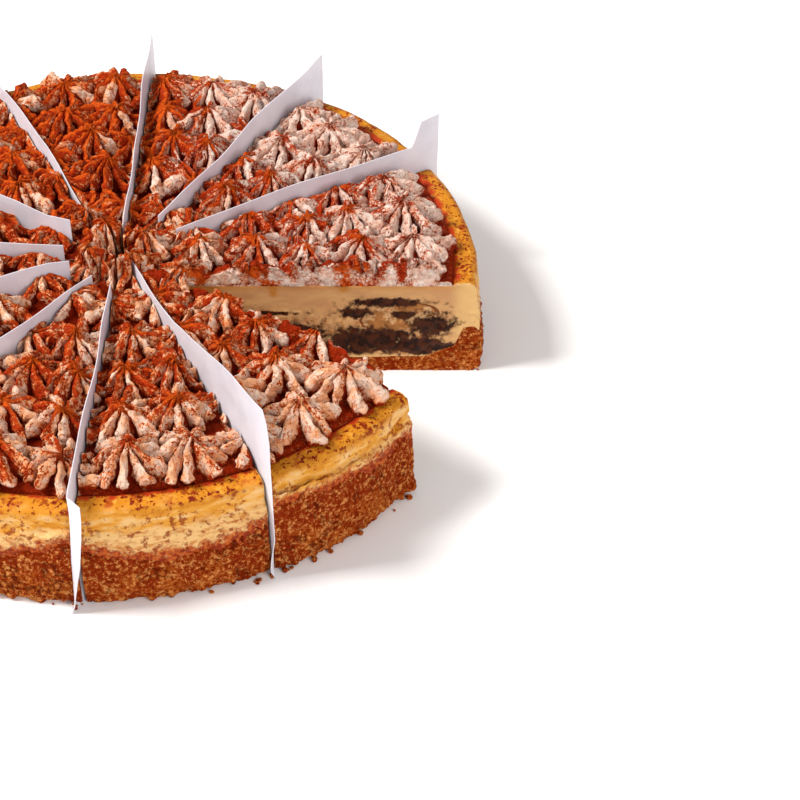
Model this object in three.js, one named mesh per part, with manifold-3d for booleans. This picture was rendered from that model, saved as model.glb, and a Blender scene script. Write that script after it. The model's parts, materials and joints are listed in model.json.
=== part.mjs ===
// Tiramisu cheesecake: a round baked cheesecake in a crumb crust, topped with piped
// cream rosettes, cut into twelve with paper dividers in the cuts and one slice taken out.
// Millimetres, +Z up, origin at the centre of the round base on the surface it stands on.
import * as THREE from 'three';
import { mergeVertices } from 'three/addons/utils/BufferGeometryUtils.js';
import Module from 'manifold-3d';

// ---- Driving dimensions ----
const cakeRadius = 127;
const cakeHeight = 40.3;
const crustBase = 6;
const crustWall = 5.6;
const crustWallTop = 20;
const crustBulge = 1.1;
const rimInset = 1.6;
const rimRound = 2.2;
const ledgeWidth = 8;
const ledgeRise = 1.2;
const joint = 0.3;
const cutWidth = 1.6;
const turnSteps = 60;

const rosetteHeight = 11.8;
const rosettePetals = 9;
const rosetteValley = 0.72;
const creamLayer = 1.5;
const creamLayerRadius = 117.4;

const paperThickness = 0.4;

// Rings of rosettes: radius of the ring, how many, the azimuth of the first, and the
// rosettes' own radius.
const rosetteRings = [
  { radius: 108.5, count: 34, phase: -83, size: 12.4 },
  { radius: 88.5, count: 30, phase: -83.5, size: 12.2 },
  { radius: 69.5, count: 27, phase: -82, size: 11.6 },
  { radius: 51, count: 18, phase: -79.3, size: 11.6 },
  { radius: 29, count: 12, phase: -89.7, size: 10.6 },
  { radius: 11, count: 4, phase: -60, size: 9.8 },
];

// The rings were piped further in at the back right: the azimuth where they are drawn in
// most, how far on both sides of it that reaches, and by what share of the radius. The
// rosettes of the outermost ring are larger there, by a share of their own radius.
const drawnMiddle = 40;
const drawnReach = 110;
const drawnShare = 0.065;
const drawnGrowth = 0.12;

// The papers press the cream down beside them: the lowest share of a rosette's height, the
// distances from the paper between which it grows to the full height, and how near the
// middle the papers reach.
const pressed = 0.5;
const pressedWithin = 2;
const pressedReach = 9;
const pressedFrom = 14;

// The taken slice leaves a gap: its front face is the radial cut at this azimuth, and its
// back face is a straight cut parallel to the X axis that passes beside the centre.
const gapFrontAzimuth = -35;
const gapBackY = -12.3;

// Paper dividers: azimuth of the cut, and the top edge as pairs of radius and height above
// the cake's top, from the inner end to the outer end. A flap is how far the top corner of
// the outer edge is bent aside.
const papers = [
  { azimuth: -91, top: [[24, 9], [50, 10.6], [112, 9.8], [129.3, 8.6], [131.4, 7.6]], flap: 4 },
  { azimuth: -63, top: [[11, 7.7], [52, 10.7], [75, 17.8], [97, 22.8], [125.5, 29.8], [130, 17.5]] },
  { azimuth: 28, top: [[21.6, 7.2], [75, 10.4], [117, 11.6], [120.6, 22], [127.8, 23.5]] },
  { azimuth: 58, top: [[21.7, 7.1], [60, 9.5], [81.5, 13.2], [118, 16], [129, 18]] },
  { azimuth: 90, top: [[12, 6], [24, 10.5], [57, 12], [116, 14], [129.2, 16.2]] },
  { azimuth: 120, top: [[32, 2.5], [45, 4.8], [67, 9.8], [112, 12.2], [129, 15]] },
  { azimuth: 151, top: [[21, 11], [31, 9.8], [44, 12], [104, 12.6], [129.2, 18]] },
  { azimuth: 180, top: [[20, 7.2], [46, 9], [84, 10.5], [117, 13.4], [129.2, 14.2]] },
  { azimuth: -149, top: [[19.5, 8.7], [27, 10.4], [86, 12], [115, 14.4], [129, 20]] },
  { azimuth: -121, top: [[16.5, 5.2], [31, 7.6], [82, 13], [112, 16], [129.4, 18.4]] },
];

// Ladyfingers that show at the two faces of the gap: which face, distance of the cut end
// from the cake's centre along the face, height, half length, half height and tilt in degrees.
const fingerDepth = 46;
const fingerSides = 10;
const ladyfingers = [
  { name: 'ladyfinger_front_outer', face: 'front', along: 99, z: 17.5, long: 12.5, high: 6.4, tilt: 5 },
  { name: 'ladyfinger_front_middle', face: 'front', along: 66, z: 16.4, long: 17, high: 6, tilt: -4 },
  { name: 'ladyfinger_front_inner', face: 'front', along: 34, z: 16.2, long: 11.5, high: 5, tilt: 6 },
  { name: 'ladyfinger_back_outer', face: 'back', along: 98.5, z: 25.2, long: 14.5, high: 6.2, tilt: 9 },
  { name: 'ladyfinger_back_middle', face: 'back', along: 86, z: 13.6, long: 17, high: 4.2, tilt: -3 },
  { name: 'ladyfinger_back_inner', face: 'back', along: 59, z: 18.6, long: 8.6, high: 3.8, tilt: -3 },
];

// Slices from cut to cut, anticlockwise, and the height of the crust's wall at the start,
// the middle and the end of each: it stands highest at the cuts. The second slice has the
// gap's front face, and the third its back face.
const cuts = papers.map((paper) => paper.azimuth);
const slices = [
  { from: cuts[0], to: cuts[1], wall: [27, 19.4, 26] },
  { from: cuts[1], to: gapFrontAzimuth, wall: [31, 28, 26], face: 'front' },
  { from: gapFrontAzimuth, to: cuts[2], wall: [22, 21, 26], face: 'back' },
  { from: cuts[2], to: cuts[3], wall: [25, 20, 27] },
  { from: cuts[3], to: cuts[4], wall: [28, 21.5, 25] },
  { from: cuts[4], to: cuts[5], wall: [24, 19.6, 26] },
  { from: cuts[5], to: cuts[6], wall: [27, 20.4, 24] },
  { from: cuts[6], to: cuts[7], wall: [25, 19.8, 28] },
  { from: cuts[7], to: cuts[8] + 360, wall: [26, 21, 25] },
  { from: cuts[8] + 360, to: cuts[9] + 360, wall: [24, 20.2, 27] },
  { from: cuts[9] + 360, to: cuts[0] + 360, wall: [25, 21.4, 30] },
];

const materials = {
  crust: { color: 0xb06a34, roughness: 0.9 },
  filling: { color: 0xe3b87c, roughness: 0.7 },
  cream: { color: 0xd9b8a4, roughness: 0.6 },
  paper: { color: 0xe6dce6, roughness: 0.55 },
  ladyfinger: { color: 0xa87440, roughness: 0.85 },
};

const wasm = await Module();
wasm.setup();

const part = new THREE.Group();
const degrees = Math.PI / 180;

// ---- Joining and cutting ----

function solidFrom(geometry) {
  const bare = geometry.clone();
  bare.deleteAttribute('normal');
  bare.deleteAttribute('uv');
  const merged = mergeVertices(bare, 1e-4);
  const index = merged.index.array;
  const triangles = [];
  for (let i = 0; i < index.length; i += 3) {
    const [a, b, c] = [index[i], index[i + 1], index[i + 2]];
    if (a !== b && b !== c && c !== a) {
      triangles.push(a, b, c);
    }
  }
  const vertProperties = new Float32Array(merged.attributes.position.array);
  const triVerts = new Uint32Array(triangles);
  return new wasm.Manifold(new wasm.Mesh({ numProp: 3, vertProperties, triVerts }));
}

// A knife can leave a scrap of a rosette beside its slice: the piece proper is the largest.
function largestPiece(solid) {
  return solid.decompose().reduce((best, piece) => (piece.volume() > best.volume() ? piece : best));
}

function addMesh(name, geometry, look) {
  const mesh = new THREE.Mesh(geometry, new THREE.MeshStandardMaterial({ ...look, metalness: 0 }));
  mesh.name = name;
  part.add(mesh);
}

function addSolid(name, solid, look) {
  const { vertProperties, triVerts } = solid.getMesh();
  const geometry = new THREE.BufferGeometry();
  geometry.setAttribute('position', new THREE.BufferAttribute(vertProperties, 3));
  geometry.setIndex(new THREE.BufferAttribute(triVerts, 1));
  addMesh(name, geometry, look);
}

// A repeatable draw between 0 and 1 for each number, for the small differences of hand work.
function chance(number) {
  const value = Math.sin(number * 12.9898) * 43758.5453;
  return value - Math.floor(value);
}

// ---- The baked round ----

// How far the crust's wall stands above its plain height at an azimuth in degrees.
function wallRise(azimuth) {
  const turn = azimuth < cuts[0] ? azimuth + 360 : azimuth;
  const { from, to, wall } = slices.find((slice) => turn <= slice.to) ?? slices.at(-1);
  const [start, middle, end] = wall;
  const place = THREE.MathUtils.clamp((2 * (turn - from)) / (to - from) - 1, -1, 1);
  const edges = ((start + end) / 2 - middle) * Math.abs(place) ** 2.4;
  return middle + edges + ((end - start) / 2) * place - crustWallTop;
}

// The cake isn't turned on a lathe: its side swells and shrinks slowly around, the crumb
// crust is craggy, and the top of the crust's wall rises and falls.
const craggyBelow = 17;
const belowRimHeight = 33.5;
const crag = 0.55;

function unevenSide(geometry) {
  const position = geometry.attributes.position;
  const point = new THREE.Vector3();
  for (let i = 0; i < position.count; i += 1) {
    point.fromBufferAttribute(position, i);
    const radius = Math.hypot(point.x, point.y);
    const turn = Number((Math.atan2(point.y, point.x) / degrees).toFixed(3));
    const azimuth = turn * degrees;
    const share = THREE.MathUtils.smoothstep(radius, 0.84 * cakeRadius, 0.97 * cakeRadius);
    let swell = 0.55 * Math.sin(3 * azimuth + 1) + 0.4 * Math.sin(7 * azimuth + 2);
    const front = Math.sin(Math.PI * THREE.MathUtils.clamp((turn + 63) / 28, 0, 1));
    swell += 1.6 * front * Math.max(0, 1 - point.z / cakeHeight);
    const step = Math.round(turnSteps * (turn / 360 + 1)) % turnSteps;
    if (radius > cakeRadius - 1.7 && point.z > 0.5 && point.z < craggyBelow) {
      swell += crag * (2 * chance(step + 100 * Math.round(point.z)) - 1);
    }
    const wallTop = THREE.MathUtils.smoothstep(point.z, 13, crustWallTop - 1);
    const belowRim = 1 - THREE.MathUtils.smoothstep(point.z, crustWallTop + 2, belowRimHeight);
    const lift = share * wallTop * belowRim * wallRise(turn);
    const moved = radius > 1e-6 ? 1 + (share * swell) / radius : 1;
    position.setXYZ(i, point.x * moved, point.y * moved, point.z + lift);
  }
  return geometry;
}

// Points of radius and height, anticlockwise with the axis on the left, turned about Z.
function turned(points) {
  const profile = points.map(([radius, height]) => new THREE.Vector2(radius, height));
  return new THREE.LatheGeometry(profile, turnSteps).rotateX(Math.PI / 2);
}

const topSurface = cakeHeight - ledgeRise;
const rimRadius = cakeRadius - rimInset;
const ledgeInner = rimRadius - ledgeWidth;

// Where the filling lies in the crust: a shallow dish whose corner curves up into the wall.
const crustInside = [
  [0, crustBase],
  [108, crustBase + 0.8],
  [118.4, crustBase + 5.8],
  [cakeRadius - crustWall, crustWallTop],
];
const crustOutside = [
  [cakeRadius - 1.6, 0],
  [cakeRadius - 0.2, 1.4],
  [cakeRadius + crustBulge, 6.5],
  [cakeRadius + crustBulge, 13],
  [cakeRadius + 0.2, crustWallTop - 0.6],
];
const fillingBlank = [
  [0, joint],
  [cakeRadius + 0.1, joint],
  [cakeRadius + 0.1, crustWallTop - 0.6],
  [rimRadius + 0.3, belowRimHeight],
  [rimRadius - 0.1, cakeHeight - rimRound],
  [rimRadius - rimRound, cakeHeight],
  [ledgeInner + 1.2, cakeHeight],
  [ledgeInner, topSurface],
  [0, topSurface],
];

// The filling is poured into the crust: what the crust and the joint take up is cut from it.
const pastSide = cakeRadius + 8;
const fillingBed = crustInside.map(([radius, height]) => [Math.max(0, radius - joint), height + joint]);
const crustRoom = [
  [0, -1],
  [pastSide, -1],
  [pastSide, crustWallTop - 0.6 + joint],
  ...fillingBed.toReversed(),
];
const crustRound = solidFrom(unevenSide(turned([[0, 0], ...crustOutside, ...crustInside.toReversed()])));
const fillingWhole = solidFrom(unevenSide(turned(fillingBlank)));
const fillingRound = fillingWhole.subtract(solidFrom(unevenSide(turned(crustRoom))));

// ---- The piped cream ----

// A star-tip rosette: the petals' crests and the valleys between them run down from the peak
// to a star-shaped foot.
function rosette(radius, height, turn) {
  const sides = 2 * rosettePetals;
  const peak = [0, 0, height];
  const foot = [];
  for (let side = 0; side < sides; side += 1) {
    const reach = side % 2 === 0 ? radius : radius * rosetteValley;
    const angle = turn + (side * Math.PI) / rosettePetals;
    foot.push([reach * Math.cos(angle), reach * Math.sin(angle), 0]);
  }
  const triangles = [];
  for (let side = 0; side < sides; side += 1) {
    const next = (side + 1) % sides;
    triangles.push([0, 0, 0], foot[next], foot[side]);
    triangles.push(foot[side], foot[next], peak);
  }
  const geometry = new THREE.BufferGeometry();
  geometry.setAttribute('position', new THREE.Float32BufferAttribute(triangles.flat(), 3));
  return geometry;
}

const layerProfile = [
  [0, 0],
  [creamLayerRadius, 0],
  [creamLayerRadius - 0.8, creamLayer],
  [0, creamLayer],
];
const creamFloor = topSurface + joint;
let creamRound = solidFrom(turned(layerProfile).translate(0, 0, creamFloor));

function drawnBell(azimuth) {
  const away = Math.abs(THREE.MathUtils.euclideanModulo(azimuth - drawnMiddle + 180, 360) - 180);
  return away < drawnReach ? 0.5 + 0.5 * Math.cos((Math.PI * away) / drawnReach) : 0;
}

function pressedDown(x, y) {
  const away = papers.map((paper) => {
    const turn = paper.azimuth * degrees;
    const outward = x * Math.cos(turn) + y * Math.sin(turn);
    return outward > pressedFrom ? Math.abs(y * Math.cos(turn) - x * Math.sin(turn)) : pressedReach;
  });
  const share = THREE.MathUtils.smoothstep(Math.min(...away), pressedWithin, pressedReach);
  return pressed + (1 - pressed) * share;
}

rosetteRings.forEach(({ radius, count, phase, size }, ring) => {
  for (let place = 0; place < count; place += 1) {
    const seed = 100 * ring + place;
    const plainAzimuth = phase + (360 * place) / count;
    const azimuth = (plainAzimuth + 1.2 * (chance(seed + 0.1) - 0.5)) * degrees;
    const bell = drawnBell(plainAzimuth);
    const distance = radius * (1 - drawnShare * bell) + 1.6 * (chance(seed + 0.2) - 0.5);
    const growth = ring === 0 ? 1 + drawnGrowth * bell : 1;
    const reach = size * growth * (1 + 0.1 * (chance(seed + 0.3) - 0.5));
    const rise = 1 + 0.16 * (chance(seed + 0.4) - 0.5);
    const turn = (chance(seed + 0.5) * 2 * Math.PI) / rosettePetals;
    const [x, y] = [distance * Math.cos(azimuth), distance * Math.sin(azimuth)];
    const height = (rosetteHeight * rise - creamLayer) * pressedDown(x, y);
    const geometry = rosette(reach, height, turn).translate(x, y, creamFloor + creamLayer);
    creamRound = creamRound.add(solidFrom(geometry));
  }
});

// The cream stays clear of the raised rim it laps over.
const openAbove = 80;
const overRim = [
  [0, creamFloor],
  [ledgeInner + 0.2, creamFloor],
  [ledgeInner + 1.8, cakeHeight + joint],
  [cakeRadius + 10, cakeHeight + joint],
  [cakeRadius + 10, openAbove],
  [0, openAbove],
];
creamRound = creamRound.intersect(solidFrom(unevenSide(turned(overRim))));

// ---- The cuts ----

// A cut is a line at an azimuth, moved sideways by an offset towards growing azimuths.
function cutLine(azimuth, offset) {
  const direction = new THREE.Vector2(Math.cos(azimuth * degrees), Math.sin(azimuth * degrees));
  const normal = new THREE.Vector2(-direction.y, direction.x);
  return { direction, normal, offset };
}

function crossing(first, second) {
  const turn = first.normal.x * second.normal.y - first.normal.y * second.normal.x;
  return new THREE.Vector2(
    (first.offset * second.normal.y - second.offset * first.normal.y) / turn,
    (second.offset * first.normal.x - first.offset * second.normal.x) / turn,
  );
}

const knifeReach = 180;

function along(corner, line) {
  return corner.clone().addScaledVector(line.direction, knifeReach);
}

function uprightPrism(corners) {
  const geometry = new THREE.ExtrudeGeometry(new THREE.Shape(corners), {
    depth: openAbove + 20,
    bevelEnabled: false,
  });
  return solidFrom(geometry.translate(0, 0, -10));
}

function wedge(fromAzimuth, toAzimuth) {
  const start = cutLine(fromAzimuth, cutWidth / 2);
  const end = cutLine(toAzimuth, -cutWidth / 2);
  const corner = crossing(start, end);
  return uprightPrism([corner, along(corner, start), along(corner, end)]);
}

// The slice behind the gap keeps a strip beside the centre that the taken slice left.
function wedgeBehindGap(toAzimuth) {
  const start = cutLine(gapFrontAzimuth, cutWidth / 2);
  const end = cutLine(toAzimuth, -cutWidth / 2);
  const face = cutLine(0, gapBackY);
  const corner = crossing(start, end);
  const shoulder = crossing(start, face);
  return uprightPrism([corner, shoulder, along(shoulder, face), along(corner, end)]);
}

// ---- Ladyfingers that show at the gap ----

// A ladyfinger is a long rounded biscuit: an ellipse across, ending round inside the slice.
// It starts outside the face, so that the knife's face cuts it flush.
function ladyfinger({ face, along: distance, z, long, high, tilt }, grow) {
  const outline = [[0, -fingerDepth], [0.7, -0.9 * fingerDepth], [1, -0.65 * fingerDepth], [1, 8]];
  const profile = outline.map(([share, depth]) => new THREE.Vector2(share, depth - (share < 1 ? grow : 0)));
  const geometry = new THREE.LatheGeometry([...profile, new THREE.Vector2(0, 8)], fingerSides);
  geometry.scale(long + grow, 1, high + grow);
  geometry.rotateY(-tilt * degrees);
  if (face === 'front') {
    geometry.translate(distance, 0, z);
    geometry.rotateZ(gapFrontAzimuth * degrees);
  } else {
    geometry.rotateZ(Math.PI);
    geometry.translate(distance, gapBackY, z);
  }
  return solidFrom(geometry);
}

function fingersAt(face, grow) {
  return ladyfingers.filter((finger) => finger.face === face).map((finger) => ladyfinger(finger, grow));
}

slices.forEach((slice, index) => {
  const name = `slice_${String(index + 1).padStart(2, '0')}`;
  const room = slice.face === 'back' ? wedgeBehindGap(slice.to) : wedge(slice.from, slice.to);
  let filling = fillingRound.intersect(room);
  if (slice.face) {
    fingersAt(slice.face, joint).forEach((finger) => {
      filling = filling.subtract(finger);
    });
    const fingers = ladyfingers.filter((finger) => finger.face === slice.face);
    fingers.forEach((finger) => {
      addSolid(finger.name, largestPiece(ladyfinger(finger, 0).intersect(room)), materials.ladyfinger);
    });
  }
  addSolid(`${name}_crust`, largestPiece(crustRound.intersect(room)), materials.crust);
  addSolid(`${name}_filling`, largestPiece(filling), materials.filling);
  addSolid(`${name}_cream`, largestPiece(creamRound.intersect(room)), materials.cream);
});

// ---- Paper dividers ----

// A thin sheet that stands in its cut on the surface below the cake. Its columns follow the
// top edge, and its rows are the foot, the cake's top and the top edge.
papers.forEach(({ azimuth, top, flap = 0 }, index) => {
  const sheet = new THREE.BoxGeometry(1, 1, 1, top.length - 1, 1, 2);
  const position = sheet.attributes.position;
  for (let i = 0; i < position.count; i += 1) {
    const column = Math.round((position.getX(i) + 0.5) * (top.length - 1));
    const [radius, above] = top[column];
    const row = Math.round((position.getZ(i) + 0.5) * 2);
    const height = [0, cakeHeight, cakeHeight + above][row];
    const aside = column === top.length - 1 ? (flap * height) / (cakeHeight + above) : 0;
    position.setXYZ(i, radius, position.getY(i) * paperThickness + aside, height);
  }
  sheet.rotateZ(azimuth * degrees);
  addMesh(`paper_${String(index + 1).padStart(2, '0')}`, sheet, materials.paper);
});

export default part;
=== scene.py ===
import json
import math

import bpy
import numpy as np
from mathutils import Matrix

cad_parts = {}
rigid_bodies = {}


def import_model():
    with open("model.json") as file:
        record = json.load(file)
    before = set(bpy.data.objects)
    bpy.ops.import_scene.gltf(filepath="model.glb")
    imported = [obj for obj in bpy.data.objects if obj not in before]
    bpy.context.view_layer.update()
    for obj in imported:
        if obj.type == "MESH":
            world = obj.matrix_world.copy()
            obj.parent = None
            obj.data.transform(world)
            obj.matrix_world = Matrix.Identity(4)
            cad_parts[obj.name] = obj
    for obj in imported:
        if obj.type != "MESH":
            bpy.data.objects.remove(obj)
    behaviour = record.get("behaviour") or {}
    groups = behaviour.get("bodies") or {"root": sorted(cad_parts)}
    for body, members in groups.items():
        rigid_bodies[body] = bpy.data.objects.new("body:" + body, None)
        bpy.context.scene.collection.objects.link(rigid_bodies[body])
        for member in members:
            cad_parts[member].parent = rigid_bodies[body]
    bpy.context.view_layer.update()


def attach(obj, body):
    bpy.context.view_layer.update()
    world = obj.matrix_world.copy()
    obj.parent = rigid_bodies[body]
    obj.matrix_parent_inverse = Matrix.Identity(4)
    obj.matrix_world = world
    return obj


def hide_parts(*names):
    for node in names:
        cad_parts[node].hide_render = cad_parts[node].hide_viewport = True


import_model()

# ---- Studio ----
# A white table top under a soft light from the left and a weaker, warmer one from the
# front. The camera looks down at the cake from the front, as it stands on a counter.

TABLE_WHITE = (0.93, 0.93, 0.94, 1)
TABLE_HALF = 4
SKY_WHITE = (1, 0.97, 0.945, 1)
SKY_STRENGTH = 0.48
CAMERA_PLACE = (0.0989, -0.5633, 0.4756)
CAMERA_ELEVATION = math.radians(41.64)

eye = bpy.data.cameras.new("camera")
eye.lens = 90
eye.sensor_width = 36
eye.clip_end = 20
camera = bpy.data.objects.new("camera", eye)
camera.location = CAMERA_PLACE
camera.rotation_euler = (math.pi / 2 - CAMERA_ELEVATION, 0, 0)
bpy.context.scene.collection.objects.link(camera)
bpy.context.scene.camera = camera

table_mesh = bpy.data.meshes.new("table")
table_corners = [(x * TABLE_HALF, y * TABLE_HALF, 0) for x, y in ((-1, -1), (1, -1), (1, 1), (-1, 1))]
table_mesh.from_pydata(table_corners, [], [(0, 1, 2, 3)])
table = bpy.data.objects.new("table", table_mesh)
bpy.context.scene.collection.objects.link(table)
table_paint = bpy.data.materials.new("table")
table_paint.use_nodes = True
table_shader = table_paint.node_tree.nodes["Principled BSDF"]
table_shader.inputs["Base Color"].default_value = TABLE_WHITE
table_shader.inputs["Roughness"].default_value = 0.8
table_mesh.materials.append(table_paint)


def soft_light(name, place, target, size, power, colour):
    """A square lamp of that size in metres, turned to face a point."""
    lamp = bpy.data.lights.new(name, "AREA")
    lamp.size = size
    lamp.energy = power
    lamp.color = colour
    holder = bpy.data.objects.new(name, lamp)
    holder.location = place
    away = np.subtract(place, target)
    lean = math.atan2(math.hypot(away[0], away[1]), away[2])
    holder.rotation_euler = (lean, 0, math.atan2(away[1], away[0]) + math.pi / 2)
    bpy.context.scene.collection.objects.link(holder)


soft_light("key_light", place=(-0.85, -0.1, 1.05), target=(0, 0, 0.03),
           size=0.42, power=24.5, colour=(1, 0.98, 0.95))
soft_light("front_light", place=(0.85, -1.08, 0.75), target=(0.03, -0.05, 0.02),
           size=0.6, power=10.2, colour=(1, 0.96, 0.92))
sky = bpy.data.worlds.new("studio")
sky.use_nodes = True
sky.node_tree.nodes["Background"].inputs["Color"].default_value = SKY_WHITE
sky.node_tree.nodes["Background"].inputs["Strength"].default_value = SKY_STRENGTH
bpy.context.scene.world = sky
bpy.context.scene.view_settings.view_transform = "Standard"

# ---- The cuts ----
# The cake is cut from the middle with a long knife into slices that stay in place, and
# each slice's walls keep the marks of the blade, the torn crumbs and the smeared cream.

MM = 0.001
FINE = 1
CUT_WIDTH = 1.6 * MM
CUTS = [-91, -63, 28, 58, 90, 120, 151, 180, 211, 239, 269]  # in degrees round the middle
GAP_FRONT = -35
GAP_BACK_Y = -12.3 * MM
SLICES = [
    {"name": "slice_01", "from": CUTS[0], "to": CUTS[1]},
    {"name": "slice_02", "from": CUTS[1], "to": GAP_FRONT},
    {"name": "slice_03", "from": GAP_FRONT, "to": CUTS[2]},
    *({"name": f"slice_{n + 2:02d}", "from": CUTS[n], "to": CUTS[n + 1]} for n in range(2, 10))]
FACE_PITCH = 0.55 * MM * FINE
HIDDEN_PITCH = 6 * MM
FACE_TOP = 56 * MM
KNIFE_REACH = 150 * MM
ROOM_BOTTOM = -10 * MM
ROOM_TOP = 85 * MM
CRUST_FLOOR = 6 * MM


def smoothstep(value, low, high):
    """Rises softly from 0 at low to 1 at high: three times the square less twice the cube."""
    share = np.clip((value - low) / (high - low), 0, 1)
    return share * share * (3 - 2 * share)


def lattice_chance(cell, seed):
    """A draw from 0 to 1 for each whole-number point: its numbers mixed by large primes."""
    whole = cell.astype(np.int64).astype(np.uint32)
    number = whole[..., 0] * np.uint32(73856093)
    number ^= whole[..., 1] * np.uint32(19349663)
    number ^= whole[..., 2] * np.uint32(83492791)
    number ^= np.uint32((seed * 2654435761) % 2**32)
    number = (number ^ (number >> np.uint32(15))) * np.uint32(2246822519)
    number = (number ^ (number >> np.uint32(13))) * np.uint32(3266489917)
    return (number ^ (number >> np.uint32(16))).astype(float) / 2**32


def soft_noise(points, size, seed):
    """Soft lumps of that size, from -1 to 1: draws at the corners of cubes, blended smoothly."""
    scaled = points / size
    cell = np.floor(scaled)
    part = scaled - cell
    part = part * part * (3 - 2 * part)
    total = np.zeros(len(points))
    for corner in np.ndindex(2, 2, 2):
        weight = np.prod(np.where(corner, part, 1 - part), axis=1)
        total += weight * lattice_chance(cell + corner, seed)
    return 2 * total - 1


def crumb_noise(points, size, seed):
    """Packed round crumbs, 1 at a crumb's middle and 0 in the cracks: how much further the
    second nearest scattered centre is than the nearest."""
    scaled = points / size
    cell = np.floor(scaled)
    nearest = np.full(len(points), 9.0)
    second = np.full(len(points), 9.0)
    for step in np.ndindex(3, 3, 3):
        other = cell + np.array(step) - 1
        centre = other + 0.5 + 0.9 * np.stack(
            [lattice_chance(other, seed + axis) - 0.5 for axis in range(3)], axis=1)
        away = np.linalg.norm(scaled - centre, axis=1)
        second = np.where(away < nearest, nearest, np.minimum(second, away))
        nearest = np.minimum(nearest, away)
    return np.clip(second - nearest, 0, 1)


def from_middle(points):
    """Each point's distance from the cake's upright middle line, and its angle around it."""
    return np.hypot(points[:, 0], points[:, 1]), np.arctan2(points[:, 1], points[:, 0])


def crust_wall_inside(height):
    """Radius of the crust's inner face at a height: a corner that curves up into the wall."""
    heights = np.array([6, 6.8, 11.8, 20]) * MM
    return np.interp(height, heights, np.array([60, 108, 118.4, 121.4]) * MM)


def in_crust(points):
    """1 in the crumb crust and 0 in the filling: soft steps at its base and its inner face."""
    height = points[:, 2]
    inside = crust_wall_inside(height)
    base = smoothstep(height, CRUST_FLOOR + 0.5 * MM, CRUST_FLOOR - 0.5 * MM)
    wall = smoothstep(from_middle(points)[0], inside - 0.5 * MM, inside + 0.5 * MM)
    return np.maximum(base, wall * smoothstep(height, 27 * MM, 24 * MM))


def knife_relief(points):
    """How far a cut face stands back from the blade: crumbs torn out of the crust, the open
    crumb of the layers at half height, long smears in the smooth filling and in the cream."""
    height = points[:, 2]
    crust = in_crust(points)
    crumb = 0.55 * (1 - crumb_noise(points, 2.2 * MM, 11)) + 0.3 * (1 - crumb_noise(points, 1.1 * MM, 12))
    layers = smoothstep(height, 7 * MM, 9 * MM) * smoothstep(height, 31 * MM, 26 * MM) * (1 - crust)
    open_crumb = 0.5 * soft_noise(points, 3.6 * MM, 13) + 0.5 * soft_noise(points, 1.5 * MM, 14)
    stretched = points * (0.35, 0.35, 1)
    smear = 0.12 * soft_noise(stretched, 1.8 * MM, 15) + 0.12 * soft_noise(points, 7 * MM, 16)
    cream = smoothstep(height, 38.6 * MM, 40 * MM)
    pulled = 0.7 * soft_noise(points * (1, 1, 0.5), 2.4 * MM, 17) + 0.3 * soft_noise(points, 1.2 * MM, 18)
    return MM * (crust * (crumb - 0.4) + layers * open_crumb + (1 - crust - layers) * smear + cream * pulled)


def cut_line(azimuth, offset):
    """A straight cut through the middle: its direction, its sideways normal and its offset."""
    turn = math.radians(azimuth)
    return {
        "direction": np.array([math.cos(turn), math.sin(turn)]),
        "normal": np.array([-math.sin(turn), math.cos(turn)]),
        "offset": offset}


def crossing(first, second):
    """The point that lies on both lines, from their normals and offsets."""
    return np.linalg.solve([first["normal"], second["normal"]], [first["offset"], second["offset"]])


def closed_mesh(name, points, faces):
    """A new object from its points and faces, whose corners run so that they face outwards."""
    mesh = bpy.data.meshes.new(name)
    mesh.from_pydata(points.tolist(), [], faces)
    made = bpy.data.objects.new(name, mesh)
    bpy.context.scene.collection.objects.link(made)
    return made


def tube_faces(columns, rows, around):
    """Faces of a grid of rows by columns: four corners each, closed around where asked."""
    last = columns if around else columns - 1
    row, column = np.meshgrid(np.arange(rows - 1), np.arange(last), indexing="ij")
    here = row * columns + column
    beside = row * columns + (column + 1) % columns
    return np.stack([here, beside, beside + columns, here + columns], axis=-1).reshape(-1, 4).tolist()


def capped_tube(columns, rows):
    """Faces of a tube that is closed around, with one face over each end."""
    faces = tube_faces(columns, rows, True)
    faces.append(list(range(columns))[::-1])
    faces.append([(rows - 1) * columns + i for i in range(columns)])
    return faces


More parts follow.
